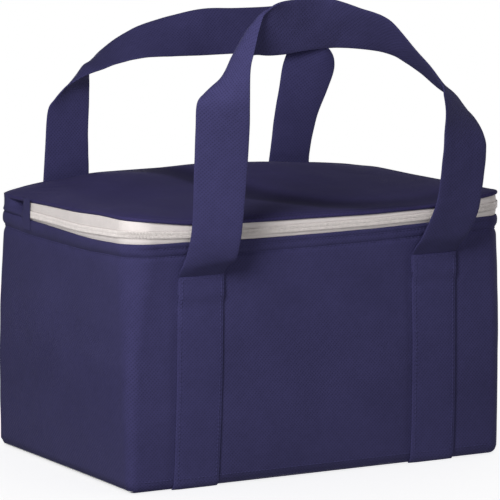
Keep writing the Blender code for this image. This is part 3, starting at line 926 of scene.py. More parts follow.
def zipper_columns():
    """The columns in front of the fold, from the left side round the front to the right side."""
    order = sorted(range(len(COLUMNS)), key=lambda i: (PLACES[i] - FOLD_LEFT + 1e-6) % PERIMETER)
    last = (FOLD_RIGHT - FOLD_LEFT) % PERIMETER
    return [i for i in order if (PLACES[i] - FOLD_LEFT + 1e-6) % PERIMETER <= last + 2e-6]


def hinge_columns():
    """The columns behind the fold, from the right side round the back to the left side."""
    return [i for i in range(len(COLUMNS)) if FOLD_RIGHT - 1e-6 <= PLACES[i] <= FOLD_LEFT + 1e-6]


ZIP_COLUMNS = zipper_columns()
HINGE_COLUMNS = hinge_columns()

# Where the shell's upper rows lie, as shares of the seam's drop below the wall's top.
HEM_STEPS = (
    0.0, 0.06, 0.14, 0.22, 0.29, 0.335, 0.38, 0.425, 0.47, 0.56, 0.66, 0.76, 0.85, 0.91, 0.955, 1.0,
    1.045, 1.09, 1.15, 1.24, 1.36, 1.5,
)


def build_shell():
    """The outside of the bag: hem, walls, rounded bottom edge and bottom, as one cloth."""
    rows = []
    count = len(COLUMNS)
    inside, _ = wall_line(WALL_TOPS - 0.0001, -TAPE_IN + 0.0005)
    for below in (0.0070, 0.0030, 0.0006):
        rows.append(np.column_stack([inside[:, :2], WALL_TOPS - below]))
    fold, _ = wall_line(WALL_TOPS - 0.0001, -0.0006)
    fold[:, 2] = WALL_TOPS + 0.0001
    rows.append(fold)
    for share in HEM_STEPS:
        line, _ = wall_line(WALL_TOPS - 0.0003 - SEAM_DROPS * share, 0.0)
        rows.append(line)
    start = WALL_TOPS - 0.0003 - SEAM_DROPS * HEM_STEPS[-1]
    for share in np.linspace(0, 1, 52)[1:]:
        line, _ = wall_line(start + (BOTTOM_EDGE - start) * share, 0.0)
        rows.append(line)
    base, normals = plan_line(np.full(count, BOTTOM_EDGE))
    for step in range(1, 7):
        angle = math.pi / 2 * step / 6
        inward = BOTTOM_EDGE * (1 - math.cos(angle))
        z = BOTTOM_EDGE * (1 - math.sin(angle))
        rows.append(np.column_stack([base - normals * inward, np.full(count, z)]))
    rim = rows[-1].copy()
    for share in (0.97, 0.92, 0.82, 0.66, 0.48, 0.30, 0.13):
        ring = rim * np.array([share, share, 1.0])
        ring[:, 2] = 0.0002 + 0.0004 * (1 - share)
        rows.append(ring)
    rows = np.array(rows)[::-1]
    faces, uvs = loft(rows, True)
    cap(faces, uvs, range(count)[::-1])
    return add_mesh("bag_shell", rows.reshape(-1, 3), faces, uvs, navy)


shell = build_shell()
dress(shell, "bag_body", "navy_fabric", "outer_wall", "bottom_panel")


# ---------------------------------------------------------------- foam and foil
def build_padding():
    """Foam between the outer cloth and the lining, closed at its top edge."""
    rows = []
    top = WALL_TOPS - FOAM_DROP
    steps = np.linspace(0.0, 1.0, 16)
    for share in steps:
        line, _ = wall_line(FOAM_LOW + (top - FOAM_LOW) * share, -FOAM_IN)
        rows.append(line)
    for share in steps[::-1]:
        line, _ = wall_line(FOAM_HIGH + (top - FOAM_HIGH) * share, -LINER_IN + 0.0006)
        rows.append(line)
    rows.append(rows[0])
    return loft_object("wall_padding", rows, True, foam_white)


def build_floor_padding():
    """Foam under the lining's floor."""
    ring, _ = wall_line(np.full(len(COLUMNS), 0.006), -LINER_IN - 0.0006)
    low, high = ring.copy(), ring.copy()
    low[:, 2] = FOAM_LOW
    high[:, 2] = FOAM_HIGH
    rows = [low * np.array([0.2, 0.2, 1]), low * np.array([0.6, 0.6, 1]), low, high]
    rows += [high * np.array([0.6, 0.6, 1]), high * np.array([0.2, 0.2, 1])]
    faces, uvs = loft(rows, True)
    count = len(COLUMNS)
    cap(faces, uvs, range(count)[::-1])
    cap(faces, uvs, range(5 * count, 6 * count))
    return add_mesh("floor_padding", np.array(rows).reshape(-1, 3), faces, uvs, foam_white)


def build_liner():
    """The foil lining: crinkled walls, a rounded join and a floor."""
    rows = []
    count = len(COLUMNS)
    top = WALL_TOPS - FOAM_DROP
    for share in np.linspace(0.0, 1.0, 60):
        heights = top + (LINER_FOOT - top) * share
        line, normals = wall_line(heights, -LINER_IN)
        dent = 0.5 + 0.5 * ripple(line, 0.019, 21)
        fine = 0.5 + 0.5 * ripple(line, 0.007, 22)
        fade = float(smooth(share / 0.1))
        inward = fade * (0.0016 * dent + 0.0006 * fine)
        line[:, 0] -= normals[:, 0] * inward
        line[:, 1] -= normals[:, 1] * inward
        rows.append(line)
    foot = rows[-1].copy()
    for step in range(1, 6):
        angle = math.pi / 2 * step / 5
        scale = 1 - 0.0046 * (1 - math.cos(angle)) / HALF_D
        ring = foot * np.array([scale, scale, 1.0])
        ring[:, 2] = LINER_FOOT - 0.0052 * math.sin(angle)
        rows.append(ring)
    rim = rows[-1].copy()
    for share in (0.97, 0.93, 0.87, 0.80, 0.72, 0.64, 0.55, 0.46, 0.37, 0.28, 0.19, 0.10, 0.04):
        ring = rim * np.array([share, share, 1.0])
        ring[:, 2] = LINER_FLOOR + 0.0010 * (0.5 + 0.5 * ripple(ring, 0.022, 23))
        rows.append(ring)
    faces, uvs = loft(rows, True)
    cap(faces, uvs, range((len(rows) - 1) * count, len(rows) * count))
    return add_mesh("lining", np.array(rows).reshape(-1, 3), faces, uvs, silver)


padding = build_padding()
dress(padding, "bag_body", "closed_cell_foam", "wall_foam")

floor_padding = build_floor_padding()
dress(floor_padding, "bag_body", "closed_cell_foam", "bottom_foam")

lining = build_liner()
dress(lining, "bag_body", "foil_lining", "foil_liner")


# ---------------------------------------------------------------- binding of the mouth
MOUTH_SECTION = (
    (0.0030, -0.0100), (0.0029, -0.0032), (0.0030, -0.0014), (0.0036, -0.0005), (0.0048, -0.0002),
    (0.0060, -0.0003), (0.0072, -0.0008), (0.0079, -0.0018), (0.0081, -0.0035), (0.0080, -0.0070),
    (0.0083, -0.0110), (0.0084, -0.0145), (0.0079, -0.0154), (0.0072, -0.0150),
)


def ring_section(name, section, tops, columns, closed, waviness):
    """A strip with the given cross-section, as (distance in, height from the top), round the bag."""
    rows = []
    points, normals = plan_line(WALL_TOPS - FOAM_DROP)
    for inward, drop in section:
        out = waviness * ripple(np.column_stack([points, tops + drop]), 0.016, 31) - inward
        rows.append(np.column_stack([points + normals * out[:, None], tops + drop])[columns])
    return loft_object(name, rows, closed, binding_navy)


mouth = ring_section(
    "mouth_edge", MOUTH_SECTION, WALL_TOPS - 0.0012, range(len(COLUMNS)), True, 0.0003
)
dress(mouth, "bag_body", "navy_binding", "mouth_binding")


# ---------------------------------------------------------------- gusset behind the zipper
GUSSET_SHARES = (
    -0.55, -0.2, 0.0, 0.06, 0.13, 0.2, 0.28, 0.37, 0.46, 0.55, 0.64, 0.73, 0.82, 0.9, 0.96, 1.0, 1.10,
)


def left_stand(normals):
    """The left side stands out a little; this fades round its corners."""
    return LEFT_STAND * np.clip(-normals[:, 0], 0, 1)


def build_gusset():
    """Cloth between the wall's hem and the lid's edge behind the fold line, folded inwards a little."""
    # on the left the cloth laps over the end of the tapes by four columns
    columns = HINGE_COLUMNS + [HINGE_COLUMNS[-1] + step for step in (1, 2, 3, 4)]
    tops = WALL_TOPS[columns]
    rims = LID_RIMS[columns]
    places = PLACES[columns]
    ends = np.minimum(places - places[0], places[-1] - places)
    points, normals = plan_line(WALL_TOPS)
    points, normals = points[columns], normals[columns]
    behind = smooth(ends / 0.012)
    side = smooth((0.040 - ends) / 0.018) * behind
    over = smooth((places - PLACES[HINGE_COLUMNS[-1]] + 0.006) / 0.005)
    rows = []
    for share in GUSSET_SHARES:
        z = tops + (rims - tops) * share
        hollow = math.sin(math.pi * min(max(share / 1.12, 0.0), 1.0) ** 1.7)
        lower_roll = math.exp(-(((share - 0.16) / 0.13) ** 2))
        rolled = hollow * 0.0004 - 0.0012 * smooth(share / 0.1) - 0.0006 * lower_roll
        inward = TAPE_IN - 0.0006 + behind * rolled
        inward = inward + side * hollow * 0.0020
        recess = 0.0095 * dip(ends, 0.022, 0.010) * smooth((share - 0.30) / 0.35)
        inward = np.minimum(inward + recess, 0.0058) * (1.0 - over) - over * 0.0015
        flutter = ripple(np.column_stack([points, z]), 0.012, 41) * 0.0007 * behind * hollow
        total = left_stand(normals) - inward - flutter
        rows.append(np.column_stack([points + normals * total[:, None], z]))
    return loft_object("gusset", rows, False, navy)


gusset = build_gusset()
dress(gusset, "bag_body", "navy_fabric", "hinge_band")


# ---------------------------------------------------------------- zipper
def sway(points):
    """How far the zipper wanders in and out. It runs straight along the right side."""
    return 0.00045 * (1 - LEVEL) * ripple(np.column_stack([points, np.zeros(len(points))]), 0.045, 51)


def tape_rows(section, base):
    """A tape as rows: each a distance out, and a share of the lower and of the upper tape's height."""
    points, normals = plan_line(WALL_TOPS)
    wander = sway(points)
    rows = []
    for out, share_low, share_high in section:
        z = base + share_low * (ZIP_LINE - WALL_TOPS) + share_high * (LID_RIMS - ZIP_LINE)
        total = out + wander + left_stand(normals)
        rows.append(np.column_stack([points + normals * total[:, None], z])[ZIP_COLUMNS])
    return rows


LOWER_TAPE = (
    (-0.0021, -1.1, 0), (-0.0019, -0.5, 0), (-0.0013, -0.08, 0), (-0.0007, 0.12, 0), (-0.0003, 0.35, 0),
    (-0.0002, 0.58, 0), (-0.0001, 0.78, 0), (-0.0001, 0.90, 0), (-0.0004, 0.965, 0), (-0.0009, 0.985, 0),
    (-0.0014, 0.96, 0), (-0.0015, 0.80, 0), (-0.0018, 0.30, 0),
)
UPPER_TAPE = (
    (-0.0018, 0, 0.7), (-0.0015, 0, 0.20), (-0.0014, 0, 0.04), (-0.0009, 0, 0.015), (-0.0004, 0, 0.035),
    (-0.0001, 0, 0.10), (-0.0001, 0, 0.22), (-0.0002, 0, 0.42), (-0.0005, 0, 0.65), (-0.0010, 0, 0.88),
    (-0.0016, 0, 0.99), (-0.0022, 0, 1.02),
)


# One tooth of the coil: a rounded bar along x with softened ends.
TOOTH_POINTS, TOOTH_FACES = rod(
    ((-0.5, 0.45, 0), (-0.42, 0.85, 0), (-0.25, 1.0, 0), (0.25, 1.0, 0), (0.42, 0.85, 0), (0.5, 0.45, 0)),
    8,
    0.5,
)
TOOTH_SIZE = (0.0028, 0.00098, 0.00085)
TOOTH_RISE = 0.00125                # from the zipper's middle line to the middle of a tooth
# The chain stitches that hold the coil to its tape: distance from the middle line, pitch and width.
CHAIN_OFFSET = 0.0034
CHAIN_PITCH = 0.0018
CHAIN_WIDTH = 0.00030


def coil_points(line, normals, sign):
    """Teeth of one half of the coil: small rounded loops that reach over the zipper's middle line."""
    centres, direction, facing = resample(line, normals, TOOTH_PITCH, False)
    if sign > 0:
        centres, direction, facing = centres[:-1], direction[:-1], facing[:-1]
        centres = centres + direction * TOOTH_PITCH / 2
    up = np.cross(facing, direction)
    up *= np.sign(up[:, 2:3])
    centres = centres + up * TOOTH_RISE * sign
    sizes = np.tile(TOOTH_SIZE, (len(centres), 1))
    across = np.cross(facing, up)
    return clone_shapes(TOOTH_POINTS, TOOTH_FACES, centres, up, across, facing, sizes)


def zipper_line(offset, out):
    """A line along the zipper's middle, moved up and outwards, with its outward normals."""
    points, normals = plan_line(WALL_TOPS)
    total = (out + sway(points) + left_stand(normals))[:, None]
    line = np.column_stack([points + normals * total, ZIP_LINE + offset])
    facing = np.column_stack([normals, np.zeros(len(points))])
    return line[ZIP_COLUMNS], facing[ZIP_COLUMNS]


for name, section, base, body in (
    ("lower", LOWER_TAPE, WALL_TOPS, "bag_body"),
    ("upper", UPPER_TAPE, ZIP_LINE, "lid_flap"),
):
    tape = loft_object(f"tape_{name}", tape_rows(section, base), False, tape_white)
    dress(tape, body, "zipper_tape", f"zip_tape_{name}")

HALVES = (("lower", "bag_body", -1.0), ("upper", "lid_flap", 1.0))
for name, body, sign in HALVES:
    points, faces = coil_points(*zipper_line(0.0, 0.0006), sign)
    coil = add_mesh(f"coil_{name}", points, faces, None, coil_white)
    dress(coil, body, "zipper_coil", f"zip_coil_{name}")

for name, body, sign in HALVES:
    chain = Threads()
    chain.row(*zipper_line(CHAIN_OFFSET * sign, 0.0), pitch=CHAIN_PITCH, width=CHAIN_WIDTH)
    dress(chain.build(f"coil_stitches_{name}", tape_white), body, "zipper_tape")


# ---------------------------------------------------------------- lid
def boundary(grid):
    """The outline of a grid of points, anticlockwise seen from above, from the front left corner."""
    return np.concatenate([grid[0, :-1], grid[:-1, -1], grid[-1, :0:-1], grid[:0:-1, 0]])


def boundary_indices(rows, columns):
    """The same outline, as point numbers."""
    return boundary(np.arange(rows * columns).reshape(rows, columns))


def outline_normals(outline):
    """Outward directions in plan along a closed outline."""
    ahead = np.roll(outline, -1, axis=0)[:, :2]
    behind = np.roll(outline, 1, axis=0)[:, :2]
    run = ahead - behind
    run /= np.maximum(np.linalg.norm(run, axis=1, keepdims=True), 1e-9)
    return np.column_stack([run[:, 1], -run[:, 0]])


LID_COLUMNS = 104
LID_EDGE_SECTION = (
    (0.0006, -0.0003), (0.0010, -0.0010), (0.0010, -0.0020), (0.0005, -0.0028), (-0.0006, -0.0030),
    (-0.0030, -0.0026), (-0.0070, -0.0022),
)


def build_lid():
    """The lid's cloth with its edge turned down over the tape."""
    plan = lid_grid(LID_COLUMNS, 0.0)
    rows, columns = plan.shape[:2]
    flat = plan.reshape(-1, 2)
    z = lid_height(flat[:, 0], flat[:, 1])
    points = np.column_stack([flat, z])
    grid = points.reshape(rows, columns, 3)
    faces, uvs = [], []
    for _, _, corners in cells(rows, columns):
        faces.append(corners)
        uvs += [tuple(points[corner, :2]) for corner in corners]
    outline = boundary(grid)
    normals = outline_normals(outline)
    rings = [outline]
    for out, drop in LID_EDGE_SECTION:
        ring = outline.copy()
        ring[:, :2] += normals * out
        ring[:, 2] += drop
        rings.append(ring)
    indices = boundary_indices(rows, columns)
    count = len(outline)
    start = len(points)
    all_points = np.vstack([points] + rings[1:])
    previous = indices
    depth = 0.0
    steps = np.linalg.norm(np.roll(outline, -1, axis=0) - outline, axis=1)
    run = np.concatenate([[0], np.cumsum(steps)])
    for number in range(1, len(rings)):
        current = np.arange(count) + start + (number - 1) * count
        step = float(np.linalg.norm(rings[number] - rings[number - 1], axis=1).mean())
        for column in range(count):
            following = (column + 1) % count
            faces.append((previous[column], current[column], current[following], previous[following]))
            left, right = run[column], run[column + 1]
            uvs += [(left, depth), (left, depth - step), (right, depth - step), (right, depth)]
        previous = current
        depth -= step
    item = add_mesh("lid_shell", all_points, faces, uvs, lid_navy_shaded)
    # painted shade: a point attribute from valley_shade, which darkens the lid's colour along its valley
    painted_shade_layer = item.data.attributes.new("Painted_shade", "FLOAT", "POINT")
    painted_shade_layer.data.foreach_set("value", valley_shade(all_points[:, 0], all_points[:, 1]).astype(np.float32))
    return item, grid


lid, lid_points = build_lid()


def lid_layer(name, inset, top_drop, bottom_drop, material, wrinkle):
    """A layer under the lid's cloth, as a closed sheet that follows it."""
    plan = lid_grid(LID_COLUMNS, inset)
    rows, columns = plan.shape[:2]
    flat = plan.reshape(-1, 2)
    z = lid_height(flat[:, 0], flat[:, 1])
    upper = np.column_stack([flat, z - top_drop])
    lower = np.column_stack([flat, z - bottom_drop])
    if wrinkle:
        inside = np.clip((rim_distance(flat[:, 0], flat[:, 1]) - inset) / 0.010, 0, 1)
        lower[:, 2] += inside * wrinkle * (ripple(lower, 0.020, 61) + 0.5 * ripple(lower, 0.008, 62))
    faces, uvs = [], []
    total = rows * columns
    for _, _, corners in cells(rows, columns):
        faces.append(corners)
        uvs += [tuple(flat[corner]) for corner in corners]
        faces.append(tuple(corner + total for corner in corners[::-1]))
        uvs += [tuple(flat[corner]) for corner in corners[::-1]]
    edge = boundary_indices(rows, columns)
    for first, second in zip(edge, np.roll(edge, -1)):
        faces.append((second, first, first + total, second + total))
        uvs += [tuple(flat[second]), tuple(flat[first]), tuple(flat[first]), tuple(flat[second])]
    return add_mesh(name, np.vstack([upper, lower]), faces, uvs, material)


lid_padding = lid_layer("lid_padding", 0.0078, 0.0012, 0.0038, foam_white, 0.0)
lid_lining = lid_layer("lid_lining", 0.0062, 0.0041, 0.0046, silver, 0.0006)

# The lid's cloth, padding and lining are baked where they lie and their CAD nodes hidden. On the real bag the
# lid bends along the line that joins the two ends of the zipper.
for item, nodes, slot_name in (
    (lid, ("lid_panel", "lid_rear_panel"), "navy_fabric"),
    (lid_padding, ("lid_foam", "lid_rear_foam"), "closed_cell_foam"),
    (lid_lining, ("lid_liner", "lid_rear_liner"), "foil_lining"),
):
    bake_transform(item)
    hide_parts(*nodes)

LID_BINDING_SECTION = (
    (0.0026, -0.0006), (0.0026, -0.0030), (0.0027, -0.0050), (0.0031, -0.0060), (0.0040, -0.0064),
    (0.0050, -0.0062), (0.0062, -0.0056), (0.0085, -0.0052), (0.0110, -0.0050), (0.0116, -0.0046),
    (0.0112, -0.0042),
)
lid_edge = ring_section("lid_edge", LID_BINDING_SECTION, LID_RIMS + LID_CLOTH, ZIP_COLUMNS, False, 0.0002)
dress(lid_edge, "lid_flap", "navy_binding", "lid_binding")


# ---------------------------------------------------------------- straps
def catmull(points, index, fraction):
    """A place on the smooth curve through the points, a fraction of the way on from an index."""
    last = len(points) - 1
    before = points[max(index - 1, 0)]
    start = points[index]
    end = points[min(index + 1, last)]
    after = points[min(index + 2, last)]
    leave = (end - before) / 2.0
    arrive = (after - start) / 2.0
    square = fraction * fraction
    cube = square * fraction
    return (
        start * (2 * cube - 3 * square + 1)
        + leave * (cube - 2 * square + fraction)
        + end * (3 * square - 2 * cube)
        + arrive * (cube - square)
    )


ACROSS = 14
LOOP_STEPS = 7
PATCH_TOP = STRAP_TOP + 0.0008       # top edge of the straps sewn to the walls
TAIL = 0.014                         # how far a handle's ends reach down behind them
ON_WALL = 0.0010                     # from the wall's face to the middle of a strap lying on it


def strap_middle(side, hand, z):
    foot, top = STRAP_MIDDLES[(side, hand)]
    return foot + (top - foot) * np.minimum(z / STRAP_TOP, 1.0)


def strap_section(side, hand, z, out):
    """Points across a strap at one height on the wall, in order of x."""
    x = strap_middle(side, hand, z) + np.linspace(-STRAP_HALF, STRAP_HALF, ACROSS + 1)
    y = face_y(side, x, np.full_like(x, z), out)
    return np.column_stack([x, y, np.full_like(x, z)])


def patch_out(z):
    """The sewn strap stands further out where the handle's end lies behind it."""
    return ON_WALL + (STRAP_THICK + 0.0001) * smooth((z - STRAP_TOP + TAIL + 0.008) / 0.008)


def patch_sections(side, hand):
    """Sections up a sewn strap, from the bag's bottom edge, and how thick each one is."""
    turned = BOTTOM_EDGE * (1 - np.cos(np.linspace(0.25, math.pi / 2, 7)))
    heights = np.concatenate([turned[:-1], np.linspace(BOTTOM_EDGE, PATCH_TOP - 0.0012, 46)])
    heights = np.append(heights, PATCH_TOP - np.array([0.0007, 0.0003, 0.0]))
    sections = [strap_section(side, hand, z, patch_out(z)) for z in heights]
    thick = np.ones(len(heights))
    thick[-3:] = (0.92, 0.7, 0.3)
    return np.array(sections), thick, np.zeros(len(heights))


def loop_sections(side, rows):
    """Sections of a handle, from its end behind the left sewn strap to its end behind the right one."""
    heights = np.linspace(STRAP_TOP - TAIL, STRAP_TOP - 0.0005, 8)
    left = [strap_section(side, "left", z, ON_WALL) for z in heights]
    right = [strap_section(side, "right", z, ON_WALL)[::-1] for z in heights[::-1]]
    shares = np.linspace(0, 1, ACROSS + 1)[:, None]
    outer = [left[-2][0], left[-1][0]]
    inner = [left[-2][-1], left[-1][-1]]
    bows = [np.zeros(3), np.zeros(3)]
    for row in rows[1:-1]:
        outer.append(np.array(row[0], float) / 1000.0)
        inner.append(np.array(row[1], float) / 1000.0)
        bows.append(np.array(row[2] if len(row) > 2 else (0, 0, 0), float) / 1000.0)
    outer += [right[0][0], right[1][0]]
    inner += [right[0][-1], right[1][-1]]
    bows += [np.zeros(3), np.zeros(3)]
    loop = []
    for index in range(1, len(outer) - 2):
        for step in range(1 if index == 1 else 0, LOOP_STEPS):
            first = catmull(outer, index, step / LOOP_STEPS)
            second = catmull(inner, index, step / LOOP_STEPS)
            bow = catmull(bows, index, step / LOOP_STEPS)
            loop.append(first + (second - first) * shares + bow * 4 * shares * (1 - shares))
    free = np.concatenate([np.zeros(len(left)), np.ones(len(loop)), np.zeros(len(right))])
    free = np.convolve(np.pad(free, 6, mode="edge"), np.ones(13) / 13, "valid")
    return np.array(left + loop + right), np.ones(len(free)), free


def strap_mesh(name, sections, thick, free):
    """A flat strap with soft edges, made of two layers of cloth sewn together."""
    count = len(sections)
    tangent = np.gradient(sections, axis=0)
    for _ in range(2):
        tangent[1:-1] = (tangent[:-2] + tangent[1:-1] * 2 + tangent[2:]) / 4
    across = np.gradient(sections, axis=1)
    normal = np.cross(across, tangent)
    normal /= np.linalg.norm(normal, axis=2, keepdims=True)
    flat = sections.reshape(-1, 3)
    soft = (0.0007 * ripple(flat, 0.030, 71) + 0.00030 * ripple(flat, 0.011, 72)).reshape(count, ACROSS + 1)
    sections = sections + normal * (soft * free[:, None])[:, :, None]
    shares = np.linspace(0, 1, ACROSS + 1)
    from_edge = np.minimum(shares, 1 - shares) * 2 * STRAP_HALF
    rise = 0.80 + 0.25 * smooth(from_edge / 0.004) - 0.22 * dip(from_edge, 0.0022, 0.0008)
    half = STRAP_THICK / 2 * rise[None, :] * thick[:, None]
    outer = sections + normal * half[:, :, None]
    inner = sections - normal * half[:, :, None]
    edge_dir = sections[:, -1] - sections[:, 0]
    edge_dir /= np.linalg.norm(edge_dir, axis=1, keepdims=True)
    bulge = edge_dir * STRAP_THICK * 0.42
    corner = normal[:, -1] * half[:, -1:] * 0.7
    right_side = [
        sections[:, -1] + bulge * 0.7 + corner,
        sections[:, -1] + bulge,
        sections[:, -1] + bulge * 0.7 - corner,
    ]
    corner = normal[:, 0] * half[:, :1] * 0.7
    left_side = [sections[:, 0] - bulge, sections[:, 0] - bulge * 0.7 + corner]
    profile = left_side + [outer[:, k] for k in range(ACROSS + 1)] + right_side
    profile += [inner[:, k] for k in range(ACROSS, -1, -1)] + [sections[:, 0] - bulge * 0.7 - corner]
    tube = np.stack(profile, axis=1)
    width = tube.shape[1]
    across_place = [-0.0012, -0.0006] + [s * 2 * STRAP_HALF for s in shares] + [0.0386, 0.0392, 0.0386]
    across_place += [s * 2 * STRAP_HALF for s in shares[::-1]] + [-0.0006, -0.0012]
    steps = np.linalg.norm(np.diff(sections, axis=0), axis=2).mean(axis=1)
    along = np.concatenate([[0.0], np.cumsum(steps)])
    faces, uvs = [], []
    for row, column, (first, second, third, fourth) in cells(count, width, True):
        faces.append((first, fourth, third, second))
        low, high = across_place[column], across_place[column + 1]
        uvs += [(low, along[row]), (low, along[row + 1]), (high, along[row + 1]), (high, along[row])]
    cap(faces, uvs, range(width))
    cap(faces, uvs, range((count - 1) * width, count * width)[::-1])
    item = add_mesh(name, tube.reshape(-1, 3), faces, uvs, strap_navy)
    form = bmesh.new()
    form.from_mesh(item.data)
    bmesh.ops.recalc_face_normals(form, faces=form.faces[:])
    form.to_mesh(item.data)
    form.free()
    return item, float(along[-1])


for side, rows, sign in (("front", FRONT_HANDLE, -1.0), ("back", BACK_HANDLE, 1.0)):
    for hand in ("left", "right"):
        patch, length = strap_mesh(f"sewn_strap_{side}_{hand}", *patch_sections(side, hand))
        dress(patch, "bag_body", "navy_strap", f"strap_{side}_{hand}")
    loop, length = strap_mesh(f"handle_loop_{side}", *loop_sections(side, rows))
    y = sign * (HALF_D + 0.0024)
    low, high = (0.0, y, STRAP_TOP - 0.0015), (0.0, y, STRAP_TOP + 0.0065)
    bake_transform(loop)
    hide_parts(f"handle_{side}")


# ---------------------------------------------------------------- stitching
FOOT_ROW = 0.0085                   # height of the lowest row of stitches
FOOT_ROW_STEP = 0.004
HEM_ROW = 0.0040                    # how far the hem's row lies below the wall's top edge
STRAP_ROW_PLACES = 60


def wall_stitch_line(below, lift):
    """A line round the bag below the wall's top, with its outward normals."""
    line, normals = wall_line(WALL_TOPS - below, lift)
    return line, np.column_stack([normals, np.zeros(len(normals))])


def face_row(threads, side, x, z, out):
    """A row of stitches on the front or back face, at x along it and z up it."""
    z = z + np.zeros_like(x)
    y = face_y(side, x, z, out)
    sign = -1.0 if side == "front" else 1.0
    threads.row(np.column_stack([x, y, z]), np.tile([0.0, sign, 0.0], (len(x), 1)))


def side_columns(side):
    return [i for i, column in enumerate(COLUMNS) if column[0] == side and column[3] is None]


body_threads = Threads()
body_threads.row(*wall_stitch_line(SEAM_DROPS, 0.0002), closed=True)
for side in ("front", "back"):
    columns = side_columns(side)
    line, facing = wall_stitch_line(HEM_ROW, STITCH_CLEAR)
    body_threads.row(line[columns], facing[columns])
    ends = STRAP_HALF + 0.0006
    gaps = sorted(STRAP_MIDDLES[(side, hand)][0] for hand in ("left", "right"))
    stops = (-HALF_W + 0.012, gaps[0] - ends, gaps[0] + ends, gaps[1] - ends, gaps[1] + ends, HALF_W - 0.012)
    for low, high in zip(stops[::2], stops[1::2]):
        x = np.linspace(low, high, max(int((high - low) / FOOT_ROW_STEP), 3))
        face_row(body_threads, side, x, FOOT_ROW, STITCH_CLEAR)

strap_threads = Threads()
for side, hand in STRAP_MIDDLES:
    heights = np.linspace(0.008, PATCH_TOP - 0.0024, STRAP_ROW_PLACES)
    for edge in (-STRAP_HALF + 0.0022, STRAP_HALF - 0.0022):
        x = strap_middle(side, hand, heights) + edge
        face_row(strap_threads, side, x, heights, patch_out(heights) + STRAP_THICK / 2)
    for z in (PATCH_TOP - 0.0020, FOOT_ROW):
        x = strap_middle(side, hand, z) + np.linspace(-STRAP_HALF + 0.0026, STRAP_HALF - 0.0026, 20)
        face_row(strap_threads, side, x, z, patch_out(z) + STRAP_THICK / 2)

points, normals = plan_line(WALL_TOPS - FOAM_DROP)
line = np.column_stack([points - normals * 0.0084, WALL_TOPS - 0.0143])
body_threads.row(line, np.column_stack([-normals, np.zeros(len(normals))]), closed=True)
dress(body_threads.build("wall_stitches", thread), "bag_body", "navy_fabric")
dress(strap_threads.build("strap_stitches", thread), "bag_body", "navy_strap")

lid_threads = Threads()
outline = boundary(lid_points)
inner = outline.copy()
inner[:, :2] -= outline_normals(outline) * LID_SEAM
inner[:, 2] = lid_height(inner[:, 0], inner[:, 1]) + STITCH_CLEAR
lid_threads.row(inner, np.tile([0.0, 0.0, 1.0], (len(inner), 1)), closed=True)
threads = lid_threads.build("lid_stitches", thread)
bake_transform(threads)

edge_threads = Threads()
line = np.column_stack([points - normals * 0.0104, LID_RIMS + LID_CLOTH - 0.0053])
edge_threads.row(line[ZIP_COLUMNS], np.tile([0.0, 0.0, -1.0], (len(ZIP_COLUMNS), 1)))
dress(edge_threads.build("lid_edge_stitches", thread), "lid_flap", "navy_binding")

# ---------------------------------------------------------------- slider and pull keep their CAD shape
for node in ("slider_body", "slider_bail", "pull_tab"):
    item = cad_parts[node]
    for slot_item in item.material_slots:
        slot_item.material = enamel


# ---------------------------------------------------------------- floor, light and camera
def build_floor():
    look = Look("Pale floor")
    material = look.surface(
        Base_Color=look.ramp(look.noise(60.0, 3.0), (0.3, (0.90, 0.90, 0.90)), (0.7, (0.92, 0.92, 0.92))),
        Roughness=0.9,
        Emission_Color=(1.0, 1.0, 1.0, 1.0),
        Emission_Strength=0.80,
    )
    size = 400.0
    points = [(-size, -size, 0), (size, -size, 0), (size, size, 0), (-size, size, 0)]
    floor = add_mesh("studio_floor", points, [(0, 1, 2, 3)], None, material, False)
    floor.visible_diffuse = False       # the floor's glow doesn't light the bag from below
    return floor


# Each light's name, place, the height on the bag's axis that it faces, its size and its power.
LIGHTS = (
    ("Key light", (-0.80, -0.66, 0.74), 0.14, 0.45, 10.8),
    ("Front light", (-1.1, -2.3, 0.12), 0.06, 0.4, 12.0),
    ("Fill light", (2.2, 1.6, 1.1), 0.15, 1.8, 3.0),
    ("Right light", (2.4, 0.35, 0.18), 0.12, 0.4, 14.0),
    ("Back light", (0.35, 2.6, 0.18), 0.12, 0.4, 18.0),
)


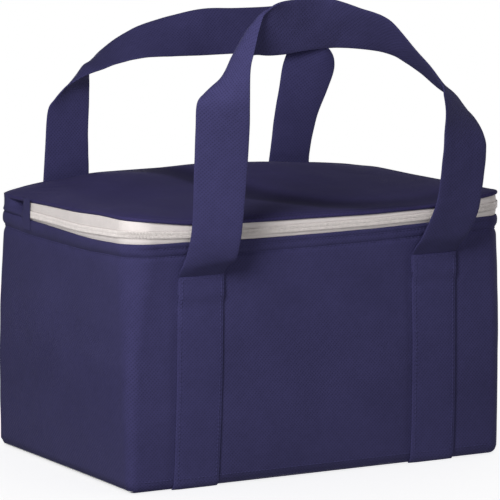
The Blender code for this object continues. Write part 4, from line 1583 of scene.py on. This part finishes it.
def build_light(unlit, name, place, aim, size, power):
    """A round light that leaves one object out."""
    data = bpy.data.lights.new(name, "AREA")
    data.shape = "DISK"
    data.size = size
    data.energy = power
    item = bpy.data.objects.new(name, data)
    bpy.context.scene.collection.objects.link(item)
    item.location = place
    item.rotation_mode = "QUATERNION"
    item.rotation_quaternion = (Vector((0.0, 0.0, aim)) - Vector(place)).to_track_quat("-Z", "Y")
    item.visible_camera = False
    receivers = bpy.data.collections.new(name + " receivers")
    receivers.objects.link(unlit)
    receivers.collection_objects[0].light_linking.link_state = "EXCLUDE"
    item.light_linking.receiver_collection = receivers


def build_world():
    world = bpy.data.worlds.new("Studio")
    bpy.context.scene.world = world
    world.use_nodes = True
    back = world.node_tree.nodes["Background"]
    back.inputs["Color"].default_value = (1.0, 1.0, 1.0, 1.0)
    back.inputs["Strength"].default_value = 0.22


CAMERA_YAW = math.radians(-29.46)
CAMERA_PITCH = math.radians(10.02)
CAMERA_ROLL = math.radians(0.19)
CAMERA_DISTANCE = 5.068
CAMERA_RIGHT = 0.0012
CAMERA_UP = 0.1567
CAMERA_LENS = 462.4


def build_camera():
    back = Vector((
        math.sin(CAMERA_YAW) * math.cos(CAMERA_PITCH),
        -math.cos(CAMERA_YAW) * math.cos(CAMERA_PITCH),
        math.sin(CAMERA_PITCH),
    ))
    level = Vector((math.cos(CAMERA_YAW), math.sin(CAMERA_YAW), 0.0))
    above = back.cross(level)
    right = level * math.cos(CAMERA_ROLL) + above * math.sin(CAMERA_ROLL)
    up = above * math.cos(CAMERA_ROLL) - level * math.sin(CAMERA_ROLL)
    place = back * CAMERA_DISTANCE + right * CAMERA_RIGHT + up * CAMERA_UP
    data = bpy.data.cameras.new("Camera")
    data.sensor_width = 36.0
    data.lens = CAMERA_LENS
    data.clip_start = 0.05
    data.clip_end = 1000.0
    camera = bpy.data.objects.new("Camera", data)
    bpy.context.scene.collection.objects.link(camera)
    camera.matrix_world = Matrix((
        (right.x, up.x, back.x, place.x),
        (right.y, up.y, back.y, place.y),
        (right.z, up.z, back.z, place.z),
        (0.0, 0.0, 0.0, 1.0),
    ))
    bpy.context.scene.camera = camera


studio_floor = build_floor()
build_world()
for light in LIGHTS:
    build_light(studio_floor, *light)
build_camera()
bpy.context.scene.view_settings.view_transform = "Standard"
